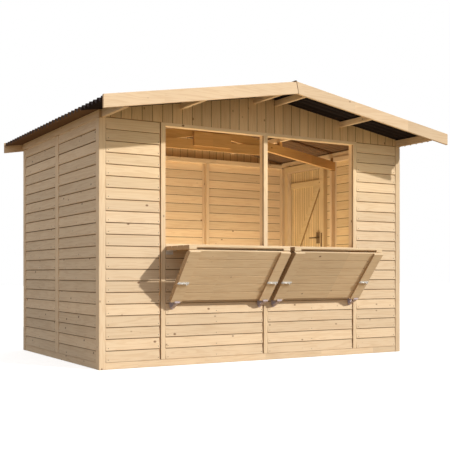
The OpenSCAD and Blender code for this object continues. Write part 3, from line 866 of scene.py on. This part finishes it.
def bitumen(name, colour=(0.016, 0.011, 0.012)):
    paint = bpy.data.materials.new(name)
    paint.use_nodes = True
    nodes = paint.node_tree.nodes
    links = paint.node_tree.links
    shader = nodes["Principled BSDF"]
    place = nodes.new("ShaderNodeTexCoord")
    grit = nodes.new("ShaderNodeTexNoise")
    grit.inputs["Scale"].default_value = 420
    grit.inputs["Detail"].default_value = 3
    links.new(place.outputs["Object"], grit.inputs["Vector"])
    dust = nodes.new("ShaderNodeTexNoise")
    dust.inputs["Scale"].default_value = 3.5
    dust.inputs["Detail"].default_value = 4
    links.new(place.outputs["Object"], dust.inputs["Vector"])
    tone = nodes.new("ShaderNodeMix")
    tone.data_type = "RGBA"
    tone.inputs["A"].default_value = colour + (1,)
    tone.inputs["B"].default_value = tuple(c * 1.9 for c in colour) + (1,)
    links.new(dust.outputs["Fac"], tone.inputs["Factor"])
    # Painted light: the downward faces over the room are painted brown, for the warm room light that falls
    # on the sheet's underside
    parts = nodes.new("ShaderNodeSeparateXYZ")
    links.new(place.outputs["Object"], parts.inputs[0])
    facing = nodes.new("ShaderNodeSeparateXYZ")
    links.new(place.outputs["Normal"], facing.inputs[0])
    indoors = nodes.new("ShaderNodeMath")
    indoors.operation = "GREATER_THAN"
    indoors.inputs[1].default_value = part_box("front_panels")[0].y
    links.new(parts.outputs["Y"], indoors.inputs[0])
    downward = nodes.new("ShaderNodeMath")
    downward.operation = "LESS_THAN"
    downward.inputs[1].default_value = 0
    links.new(facing.outputs["Z"], downward.inputs[0])
    inside = nodes.new("ShaderNodeMath")
    inside.operation = "MULTIPLY"
    links.new(indoors.outputs[0], inside.inputs[0])
    links.new(downward.outputs[0], inside.inputs[1])
    painted_room_light = nodes.new("ShaderNodeMix")
    painted_room_light.data_type = "RGBA"
    painted_room_light.inputs["B"].default_value = (0.20, 0.12, 0.07, 1)
    links.new(tone.outputs["Result"], painted_room_light.inputs["A"])
    links.new(inside.outputs[0], painted_room_light.inputs["Factor"])
    links.new(painted_room_light.outputs["Result"], shader.inputs["Base Color"])
    relief = nodes.new("ShaderNodeBump")
    relief.inputs["Strength"].default_value = 0.5
    relief.inputs["Distance"].default_value = 0.0008
    links.new(grit.outputs["Fac"], relief.inputs["Height"])
    links.new(relief.outputs["Normal"], shader.inputs["Normal"])
    shader.inputs["Roughness"].default_value = 0.86
    shader.inputs["Specular IOR Level"].default_value = 0.2
    return paint


def sheet_tree():
    """Flat sheets set side by side along Y and bent to one run of waves."""
    tree = bpy.data.node_groups.new("corrugated_sheets", "GeometryNodeTree")
    tree.interface.new_socket("Sheet", in_out="INPUT", socket_type="NodeSocketGeometry")
    tree.interface.new_socket("Sheets", in_out="INPUT", socket_type="NodeSocketInt")
    tree.interface.new_socket("Cover", in_out="INPUT", socket_type="NodeSocketFloat")
    tree.interface.new_socket("Wave Pitch", in_out="INPUT", socket_type="NodeSocketFloat")
    tree.interface.new_socket("Wave Height", in_out="INPUT", socket_type="NodeSocketFloat")
    tree.interface.new_socket("Lap Lift", in_out="INPUT", socket_type="NodeSocketFloat")
    tree.interface.new_socket("Finish", in_out="INPUT", socket_type="NodeSocketMaterial")
    tree.interface.new_socket("Roof", in_out="OUTPUT", socket_type="NodeSocketGeometry")
    nodes = tree.nodes
    links = tree.links

    def maths(operation, first, second):
        node = nodes.new("ShaderNodeMath")
        node.operation = operation
        for socket, value in zip(node.inputs, (first, second)):
            if isinstance(value, float):
                socket.default_value = value
            else:
                links.new(value, socket)
        return node.outputs[0]

    given = nodes.new("NodeGroupInput")
    made = nodes.new("NodeGroupOutput")
    step = nodes.new("ShaderNodeCombineXYZ")
    links.new(given.outputs["Cover"], step.inputs["Y"])
    links.new(given.outputs["Lap Lift"], step.inputs["Z"])
    line = nodes.new("GeometryNodeMeshLine")
    links.new(given.outputs["Sheets"], line.inputs["Count"])
    links.new(step.outputs[0], line.inputs["Offset"])
    row = nodes.new("GeometryNodeInstanceOnPoints")
    links.new(line.outputs["Mesh"], row.inputs["Points"])
    links.new(given.outputs["Sheet"], row.inputs["Instance"])
    real = nodes.new("GeometryNodeRealizeInstances")
    links.new(row.outputs[0], real.inputs[0])
    place = nodes.new("GeometryNodeInputPosition")
    parts = nodes.new("ShaderNodeSeparateXYZ")
    links.new(place.outputs[0], parts.inputs[0])
    turns = maths("DIVIDE", parts.outputs["Y"], given.outputs["Wave Pitch"])
    wave = maths("COSINE", maths("MULTIPLY", turns, 2 * math.pi), 0.0)
    rise = maths("MULTIPLY", wave, maths("MULTIPLY", given.outputs["Wave Height"], 0.5))
    lift = nodes.new("ShaderNodeCombineXYZ")
    links.new(rise, lift.inputs["Z"])
    bend = nodes.new("GeometryNodeSetPosition")
    links.new(real.outputs[0], bend.inputs["Geometry"])
    links.new(lift.outputs[0], bend.inputs["Offset"])
    finish = nodes.new("GeometryNodeSetMaterial")
    links.new(bend.outputs[0], finish.inputs["Geometry"])
    links.new(given.outputs["Finish"], finish.inputs["Material"])
    links.new(finish.outputs[0], made.inputs[0])
    return tree


def slope_matrix(side):
    """The frame of one roof slope: X down the slope, Z square to it, from the ridge."""
    turn = Matrix.Rotation(ROOF_PITCH, 4, "Y")
    flip = Matrix.Scale(-1, 4, (1, 0, 0)) if side < 0 else Matrix.Identity(4)
    return flip @ Matrix.Translation((0, 0, RIDGE_Z)) @ turn


corrugated_sheets = sheet_tree()
roof_black = bitumen("bitumen_sheet")
sheet_low, sheet_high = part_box("roof_sheet_right")
sheet_cover = (sheet_high.y - sheet_low.y) / SHEETS
sheet_start = 0.010
sheet_run = EAVE_X / math.cos(ROOF_PITCH) - sheet_start - 0.002


def roof_slope(name, node, side):
    columns = 3
    rows = round((sheet_cover + SHEET_LAP) / WAVE_PITCH * 12)
    flat = bmesh.new()
    grid = []
    for row in range(rows + 1):
        y = (sheet_cover + SHEET_LAP) * row / rows
        grid.append([flat.verts.new((sheet_run * i / columns, y, 0)) for i in range(columns + 1)])
    for row in range(rows):
        for i in range(columns):
            face = flat.faces.new((grid[row][i], grid[row][i + 1], grid[row + 1][i + 1], grid[row + 1][i]))
            face.smooth = True
    bmesh.ops.transform(flat, matrix=Matrix.Translation((sheet_start, sheet_low.y, 0)), verts=flat.verts)
    sheet = bpy.data.meshes.new("flat_sheet")
    flat.to_mesh(sheet)
    flat.free()
    mesh = grown(sheet, corrugated_sheets,
                 {"Sheets": SHEETS, "Cover": sheet_cover, "Wave Pitch": WAVE_PITCH,
                  "Wave Height": WAVE_HEIGHT, "Lap Lift": 0.0008, "Finish": roof_black})
    shape = bmesh.new()
    shape.from_mesh(mesh)
    # The last sheet has no neighbour to lap, so it ends at the bargeboard
    over = [v for v in shape.verts if v.co.y > sheet_high.y + 0.0005]
    bmesh.ops.delete(shape, geom=over, context="VERTS")
    middle = -SHEET_DROP - WAVE_HEIGHT / 2 - 0.002
    bmesh.ops.translate(shape, vec=(0, 0, middle), verts=shape.verts)
    bmesh.ops.solidify(shape, geom=shape.faces[:], thickness=SHEET_THICK)
    bmesh.ops.transform(shape, matrix=slope_matrix(side), verts=shape.verts)
    bmesh.ops.recalc_face_normals(shape, faces=shape.faces)
    for face in shape.faces:
        face.smooth = True
    for edge in shape.edges:
        edge.smooth = edge.calc_face_angle(0) < math.radians(40)
    new_piece(name, shape, [roof_black], "kiosk", [node])


roof_slope("roof_sheets_left", "roof_sheet_left", -1)
roof_slope("roof_sheets_right", "roof_sheet_right", 1)

# Ridge cap: a folded strip of the same bitumen sheet with a half-round roll.
cap = bmesh.new()
cap.from_mesh(frame["nodes"]["ridge_cap"].data)
bmesh.ops.remove_doubles(cap, verts=cap.verts, dist=0.00005)
for face in cap.faces:
    face.smooth = True
for edge in cap.edges:
    edge.smooth = edge.calc_face_angle(0) < math.radians(35)
new_piece("ridge_strip", cap, [roof_black], "kiosk", ["ridge_cap"])

# Folding shutters: each has two board leaves on stiles. The lower leaf lies flat as the
# counter, the upper one hangs from its edge and stands on brackets at the wall.
LEAF_THICK = 0.015
STILE_THICK = 0.017
COUNTER_STILE = 0.065
SUPPORT_STILE = 0.097
SUPPORT_LENGTH = 0.508
SUPPORT_ANGLE = math.radians(49.8)
COUNTER_BOARDS = 4
SUPPORT_BOARDS = 6
BOARD_JOINT = 0.0035


def leaf(length, depth, boards, stile, boards_low, stiles_low):
    """A shutter leaf from the origin: boards along X, two stiles across them."""
    shape = bmesh.new()
    width = depth / boards
    for i in range(boards):
        block(shape, (0, i * width + BOARD_JOINT / 2, boards_low),
              (length, (i + 1) * width - BOARD_JOINT / 2, boards_low + LEAF_THICK))
    for x in (0, length - stile):
        block(shape, (x, 0.0, stiles_low), (x + stile, depth, stiles_low + STILE_THICK))
    return shape


# A thin strip closes the joint under the counter's front board, and a batten stiffens
# each end of the support's back.
FRONT_STRIP = 0.007
STRIP_SETBACK = 0.012
BATTEN_WIDE = 0.030
BATTEN_THICK = 0.013


shutter_wood = spruce("shutter_spruce", "x", 0.0, tint=(0.99, 1.0, 0.98))
for side, x_sign in (("left", -1), ("right", 1)):
    low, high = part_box("counter_" + side)
    length = high.x - low.x
    counter = leaf(length, high.y - low.y, COUNTER_BOARDS, COUNTER_STILE, STILE_THICK, 0)
    block(counter, (COUNTER_STILE, STRIP_SETBACK, STILE_THICK - FRONT_STRIP),
          (length - COUNTER_STILE, STRIP_SETBACK + BATTEN_WIDE, STILE_THICK))
    bmesh.ops.transform(counter, matrix=Matrix.Translation(low), verts=counter.verts)
    new_piece("counter_leaf_" + side, counter, [shutter_wood], "kiosk", ["counter_" + side])
    support = leaf(length, SUPPORT_LENGTH, SUPPORT_BOARDS, SUPPORT_STILE, 0, -STILE_THICK)
    for x in (0, length - BATTEN_WIDE):
        block(support, (x, BATTEN_WIDE, LEAF_THICK),
              (x + BATTEN_WIDE, SUPPORT_LENGTH - BATTEN_WIDE, LEAF_THICK + BATTEN_THICK))
    hung = Vector((low.x, low.y, low.z - 0.0003 - LEAF_THICK * math.cos(SUPPORT_ANGLE)))
    hang = Matrix.Translation(hung) @ Matrix.Rotation(-SUPPORT_ANGLE, 4, "X")
    bmesh.ops.transform(support, matrix=hang, verts=support.verts)
    new_piece("support_leaf_" + side, support, [shutter_wood], "kiosk", ["support_" + side])

# Shutter fittings: bright zinc barrel bolts across the support's stiles, hinges under
# the counter and bent brackets on the wall, all screwed on.
BOLT_ALONG = 0.31
BOLT_LENGTH = 0.10
BOLT_PLATE = 0.020


def zinc(name, colour=(0.72, 0.73, 0.76), rough=0.34, metal=0.85):
    paint = bpy.data.materials.new(name)
    paint.use_nodes = True
    nodes = paint.node_tree.nodes
    links = paint.node_tree.links
    shader = nodes["Principled BSDF"]
    place = nodes.new("ShaderNodeTexCoord")
    spangle = nodes.new("ShaderNodeTexVoronoi")
    spangle.inputs["Scale"].default_value = 160
    links.new(place.outputs["Object"], spangle.inputs["Vector"])
    tone = nodes.new("ShaderNodeMix")
    tone.data_type = "RGBA"
    tone.inputs["A"].default_value = colour + (1,)
    tone.inputs["B"].default_value = tuple(c * 0.78 for c in colour) + (1,)
    links.new(spangle.outputs["Distance"], tone.inputs["Factor"])
    links.new(tone.outputs["Result"], shader.inputs["Base Color"])
    gloss = nodes.new("ShaderNodeMapRange")
    gloss.inputs["To Min"].default_value = rough
    gloss.inputs["To Max"].default_value = rough + 0.16
    links.new(spangle.outputs["Distance"], gloss.inputs["Value"])
    links.new(gloss.outputs["Result"], shader.inputs["Roughness"])
    shader.inputs["Metallic"].default_value = metal
    return paint


galvanised = zinc("galvanised_steel")
bright_zinc = zinc("bright_zinc", (0.88, 0.88, 0.88), 0.30, 0.35)
dull_zinc = zinc("dull_zinc", (0.62, 0.54, 0.60), 0.55, 0.25)


def rod(shape, start, end, radius, sides=20):
    """Adds a round bar with closed ends between two points."""
    line = Vector(end) - Vector(start)
    made = bmesh.ops.create_cone(shape, cap_ends=True, segments=sides, radius1=radius, radius2=radius,
                                 depth=line.length)
    turn = line.to_track_quat("Z", "Y").to_matrix().to_4x4()
    bmesh.ops.transform(shape, matrix=Matrix.Translation((Vector(start) + Vector(end)) / 2) @ turn,
                        verts=made["verts"])
    for vert in made["verts"]:
        for face in vert.link_faces:
            face.smooth = len(face.verts) == 4


def screw_heads(name, places, facing, radius, body, paint):
    """Low domed screw heads at places, all facing one way."""
    shape = bmesh.new()
    turn = Vector(facing).to_track_quat("Z", "Y").to_matrix().to_4x4()
    for place in places:
        made = bmesh.ops.create_uvsphere(shape, u_segments=12, v_segments=8, radius=radius)
        squash = Matrix.Translation(place) @ turn @ Matrix.Scale(0.45, 4, (0, 0, 1))
        bmesh.ops.transform(shape, matrix=squash, verts=made["verts"])
    for face in shape.faces:
        face.smooth = True
    new_piece(name, shape, [paint], body)


bolts = bmesh.new()
bolt_screws = []
for side in ("left", "right"):
    low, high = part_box("counter_" + side)
    hung = Vector((low.x, low.y, low.z - 0.0003 - LEAF_THICK * math.cos(SUPPORT_ANGLE)))
    hang = Matrix.Translation(hung) @ Matrix.Rotation(-SUPPORT_ANGLE, 4, "X")
    for middle in (SUPPORT_STILE / 2, high.x - low.x - SUPPORT_STILE / 2):
        one = bmesh.new()
        face_z = -STILE_THICK
        block(one, (middle - BOLT_LENGTH / 2, BOLT_ALONG - BOLT_PLATE / 2, face_z - 0.002),
              (middle + BOLT_LENGTH / 2, BOLT_ALONG + BOLT_PLATE / 2, face_z), 0.0006)
        rod(one, (middle - BOLT_LENGTH / 2 - 0.006, BOLT_ALONG, face_z - 0.007),
            (middle + BOLT_LENGTH / 2 - 0.012, BOLT_ALONG, face_z - 0.007), 0.005)
        for offset in (-0.036, 0.0, 0.036):
            block(one, (middle + offset - 0.006, BOLT_ALONG - 0.008, face_z - 0.0135),
                  (middle + offset + 0.006, BOLT_ALONG + 0.008, face_z - 0.001), 0.002)
        rod(one, (middle + 0.018, BOLT_ALONG, face_z - 0.007),
            (middle + 0.018, BOLT_ALONG, face_z - 0.026), 0.004)
        for offset in (-0.046, -0.018, 0.046):
            bolt_screws.append(hang @ Vector((middle + offset, BOLT_ALONG, face_z - 0.002)))
        bmesh.ops.transform(one, matrix=hang, verts=one.verts)
        part = bpy.data.meshes.new("one_bolt")
        one.to_mesh(part)
        one.free()
        bolts.from_mesh(part)
new_piece("barrel_bolts", bolts, [bright_zinc], "kiosk")
outward = Matrix.Rotation(-SUPPORT_ANGLE, 4, "X") @ Vector((0, 0, -1))
screw_heads("bolt_screws", bolt_screws, outward, 0.0032, "kiosk", galvanised)


def fitting(name, node, paint):
    """A metal fitting that stands for one node, its round faces smooth."""
    shape = bmesh.new()
    shape.from_mesh(frame["nodes"][node].data)
    bmesh.ops.remove_doubles(shape, verts=shape.verts, dist=0.00005)
    for face in shape.faces:
        face.smooth = True
    for edge in shape.edges:
        edge.smooth = edge.calc_face_angle(0) < math.radians(30)
    return new_piece(name, shape, [paint], frame["nodes"][node]["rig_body"], [node])


fitting("counter_hinges", "shutter_hinges", bright_zinc)

# Wall brackets: bent galvanised straps with a tapered plate on the wall and an upturned
# lip, each held by two screws. The feet of the supports stand on them.
BRACKET_WIDE = 0.048
BRACKET_METAL = 0.003
brackets = bmesh.new()
bracket_screws = []
for low, high in islands("support_brackets"):
    middle = (low.x + high.x) / 2 + 0.006
    foot = high.z - 3 * BRACKET_METAL
    half = BRACKET_WIDE / 2
    outline = [(-half, foot), (half, foot), (half * 0.8, foot - 0.040), (half * 0.35, foot - 0.056),
               (-half * 0.35, foot - 0.056), (-half * 0.8, foot - 0.040)]
    near = [brackets.verts.new((middle + x, high.y - BRACKET_METAL, z)) for x, z in outline]
    far = [brackets.verts.new((middle + x, high.y, z)) for x, z in outline]
    faces = [brackets.faces.new(near), brackets.faces.new(list(reversed(far)))]
    for i in range(6):
        j = (i + 1) % 6
        faces.append(brackets.faces.new((near[j], near[i], far[i], far[j])))
    bmesh.ops.recalc_face_normals(brackets, faces=faces)
    block(brackets, (middle - half, low.y + BRACKET_METAL, foot - BRACKET_METAL),
          (middle + half, high.y, foot), 0.0005)
    strut = [(low.y + 0.001, foot - 0.001), (low.y + 0.001, foot - 0.005),
             (high.y - 0.001, foot - 0.050), (high.y - 0.001, foot - 0.045)]
    near = [brackets.verts.new((middle - half * 0.7, y, z)) for y, z in strut]
    far = [brackets.verts.new((middle + half * 0.7, y, z)) for y, z in strut]
    faces = [brackets.faces.new(near), brackets.faces.new(list(reversed(far)))]
    for i in range(4):
        j = (i + 1) % 4
        faces.append(brackets.faces.new((near[j], near[i], far[i], far[j])))
    bmesh.ops.recalc_face_normals(brackets, faces=faces)
    block(brackets, (middle - half, low.y, foot - BRACKET_METAL),
          (middle + half, low.y + BRACKET_METAL, high.z), 0.0005)
    for z in (foot - 0.014, foot - 0.038):
        bracket_screws.append(Vector((middle, high.y - BRACKET_METAL, z)))
new_piece("wall_brackets", brackets, [dull_zinc], "kiosk", ["support_brackets"])
screw_heads("bracket_screws", bracket_screws, (0, -1, 0), 0.0042, "kiosk", galvanised)

# Side door: upright boards on two ledges and a brace, hung on strap hinges, with a
# brown rim lock. It opens outwards on its rear edge.
DOOR_BOARDS = 7
door_low, door_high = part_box("door_leaf")
door_size = door_high - door_low
DOOR_SEAM = 0.004
# Painted shade: dark lines at each board joint and down the middle of each board, for the shade in the
# grooves, and a yellower, darker tint for the dim, warm light in the room
door_wood = spruce("door_spruce", "z", door_size.y / DOOR_BOARDS / 2, "y", door_low.y + DOOR_SEAM / 2,
                   DOOR_SEAM, (0.91, 0.90, 0.76))
door = bmesh.new()
door_board = grooved_board(door_size.y / DOOR_BOARDS - 0.0006, door_size.x, 0, door_size.z)
for i in range(DOOR_BOARDS):
    copy = door_board.copy()
    copy.transform(Matrix.Translation((door_high.x, door_low.y + i * door_size.y / DOOR_BOARDS, door_low.z))
                   @ Matrix.Rotation(math.pi / 2, 4, "Z"))
    door.from_mesh(copy)
new_piece("door_boards", door, [door_wood], "door", ["door_leaf"])

# Ledges and braces on the door's inner face: a ledge near the top, at half height and
# near the foot, and a brace in each half that rises from the hinge side.
LEDGE_WIDE = 0.062
LEDGE_INSET = 0.022
LEDGE_HEIGHTS = (0.24, 0.83, 1.698)
bracing = bmesh.new()
ledge_x = (door_low.x - 0.020, door_low.x)
ledge_y = (door_low.y + LEDGE_INSET, door_high.y - LEDGE_INSET)
for z in LEDGE_HEIGHTS:
    block(bracing, (ledge_x[0], ledge_y[0], z - LEDGE_WIDE / 2),
          (ledge_x[1], ledge_y[1], z + LEDGE_WIDE / 2))
for foot, top in zip(LEDGE_HEIGHTS, LEDGE_HEIGHTS[1:]):
    low_z = foot + LEDGE_WIDE / 2 + 0.0005
    high_z = top - LEDGE_WIDE / 2 - 0.0005
    run = ledge_y[1] - ledge_y[0]
    across = LEDGE_WIDE / math.sin(math.atan2(high_z - low_z, run))
    outline = [(ledge_y[1] - across, low_z), (ledge_y[1], low_z), (ledge_y[0] + across, high_z),
               (ledge_y[0], high_z)]
    near = [bracing.verts.new((ledge_x[0], y, z)) for y, z in outline]
    far = [bracing.verts.new((ledge_x[1], y, z)) for y, z in outline]
    faces = [bracing.faces.new(near), bracing.faces.new(list(reversed(far)))]
    for i in range(4):
        j = (i + 1) % 4
        faces.append(bracing.faces.new((near[j], near[i], far[i], far[j])))
    bmesh.ops.recalc_face_normals(bracing, faces=faces)
    edges = {e for v in near + far for e in v.link_edges}
    bmesh.ops.bevel(bracing, geom=list(edges), offset=EASED_EDGE, segments=2, affect="EDGES",
                    clamp_overlap=True)
# Painted shade: the brace's slanted edge faces get a dark finish, for the shade on its edges
for face in bracing.faces:
    slanted = min(abs(face.normal.y), abs(face.normal.z)) > 0.2
    face.material_index = 1 if slanted and abs(face.normal.x) < 0.5 else 0
# The ledges are tinted yellower and a little darker, as painted shade for the dim, warm light in the room
ledge_wood = spruce("ledge_spruce", "y", tint=(0.93, 0.92, 0.78))
brace_edge_painted_shade = spruce("brace_edge_spruce", "z", tint=(0.40, 0.32, 0.20))
new_piece("door_ledges", bracing, [ledge_wood, brace_edge_painted_shade], "door", ["door_bracing"])
fitting("door_straps", "door_hinges", galvanised)
fitting("door_plates", "door_hinge_plates", galvanised)


def lacquer(name):
    paint = bpy.data.materials.new(name)
    paint.use_nodes = True
    nodes = paint.node_tree.nodes
    links = paint.node_tree.links
    shader = nodes["Principled BSDF"]
    place = nodes.new("ShaderNodeTexCoord")
    peel = nodes.new("ShaderNodeTexNoise")
    peel.inputs["Scale"].default_value = 260
    links.new(place.outputs["Object"], peel.inputs["Vector"])
    gloss = nodes.new("ShaderNodeMapRange")
    gloss.inputs["To Min"].default_value = 0.30
    gloss.inputs["To Max"].default_value = 0.50
    links.new(peel.outputs["Fac"], gloss.inputs["Value"])
    links.new(gloss.outputs["Result"], shader.inputs["Roughness"])
    relief = nodes.new("ShaderNodeBump")
    relief.inputs["Strength"].default_value = 0.15
    relief.inputs["Distance"].default_value = 0.0003
    links.new(peel.outputs["Fac"], relief.inputs["Height"])
    links.new(relief.outputs["Normal"], shader.inputs["Normal"])
    tone = nodes.new("ShaderNodeMix")
    tone.data_type = "RGBA"
    tone.inputs["A"].default_value = (0.20, 0.12, 0.055, 1)
    tone.inputs["B"].default_value = (0.13, 0.08, 0.04, 1)
    links.new(peel.outputs["Fac"], tone.inputs["Factor"])
    links.new(tone.outputs["Result"], shader.inputs["Base Color"])
    return paint


lock_lacquer = lacquer("brown_lock_lacquer")
fitting("rim_lock", "door_lock", lock_lacquer)
keeper = bmesh.new()
lock_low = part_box("door_lock")[0].z
block(keeper, (stop_x[0] - 0.004, leaf_low.y - 0.040, lock_low - 0.060),
      (stop_x[0], leaf_low.y - 0.018, lock_low + 0.108), 0.0008)
new_piece("lock_keeper", keeper, [lock_lacquer], "kiosk")

strap_screws = []
for low, high in islands("door_hinges"):
    for y in (0.02, 0.09, 0.16):
        strap_screws.append(Vector((low.x + 0.003, low.y + y, (low.z + high.z) / 2)))
screw_heads("strap_screws", strap_screws, (1, 0, 0), 0.0042, "door", galvanised)
plate_screws = []
for low, high in islands("door_hinge_plates"):
    for z in (low.z + 0.014, high.z - 0.014):
        plate_screws.append(Vector((low.x + 0.003, high.y - 0.012, z)))
screw_heads("plate_screws", plate_screws, (1, 0, 0), 0.0042, "kiosk", galvanised)

# Nails: one to each end of every lap board and one in the middle of wide panels,
# driven flush, so that only small dull heads show along the posts.
NAIL_RADIUS = 0.0034
NAIL_INSET = 0.022


def nail_head():
    shape = bmesh.new()
    bmesh.ops.create_cone(shape, cap_ends=True, segments=8, radius1=NAIL_RADIUS,
                          radius2=NAIL_RADIUS * 0.7, depth=0.0012)
    mesh = bpy.data.meshes.new("nail_head")
    shape.to_mesh(mesh)
    shape.free()
    return mesh


def nail_column(shape, place, turn, height):
    """One column of nails up a panel, one to each board."""
    rows = int(height / LAP_PITCH)
    head = nail_head()
    head.transform(Matrix.Rotation(math.radians(90), 4, "X"))
    mesh = grown(head, stacked_boards, {"Rows": rows, "Pitch": LAP_PITCH, "Play": 0.0, "Finish": nail_steel})
    mesh.transform(Matrix.Translation(place) @ Matrix.Rotation(turn, 4, "Z"))
    shape.from_mesh(mesh)


nail_steel = zinc("nail_steel", (0.16, 0.13, 0.11), 0.5)
nails = bmesh.new()
for node, facing in (("front_panels", "front"), ("counter_walls", "front"), ("back_wall", "rear"),
                     ("left_wall", "left"), ("right_wall", "right")):
    for low, high in islands(node):
        size = high - low
        span = size.x if facing in ("front", "rear") else size.y
        columns = [NAIL_INSET, span - NAIL_INSET]
        if span > 0.8:
            columns.append(span / 2)
        for along in columns:
            z = low.z + 0.018
            if facing == "front":
                nail_column(nails, (low.x + along, low.y + 0.0012, z), 0, size.z)
            elif facing == "rear":
                nail_column(nails, (low.x + along, high.y - 0.0012, z), math.pi, size.z)
            elif facing == "left":
                nail_column(nails, (low.x + 0.0012, low.y + along, z), -math.pi / 2, size.z)
            else:
                nail_column(nails, (high.x - 0.0012, low.y + along, z), math.pi / 2, size.z)
new_piece("board_nails", nails, [nail_steel], "kiosk")
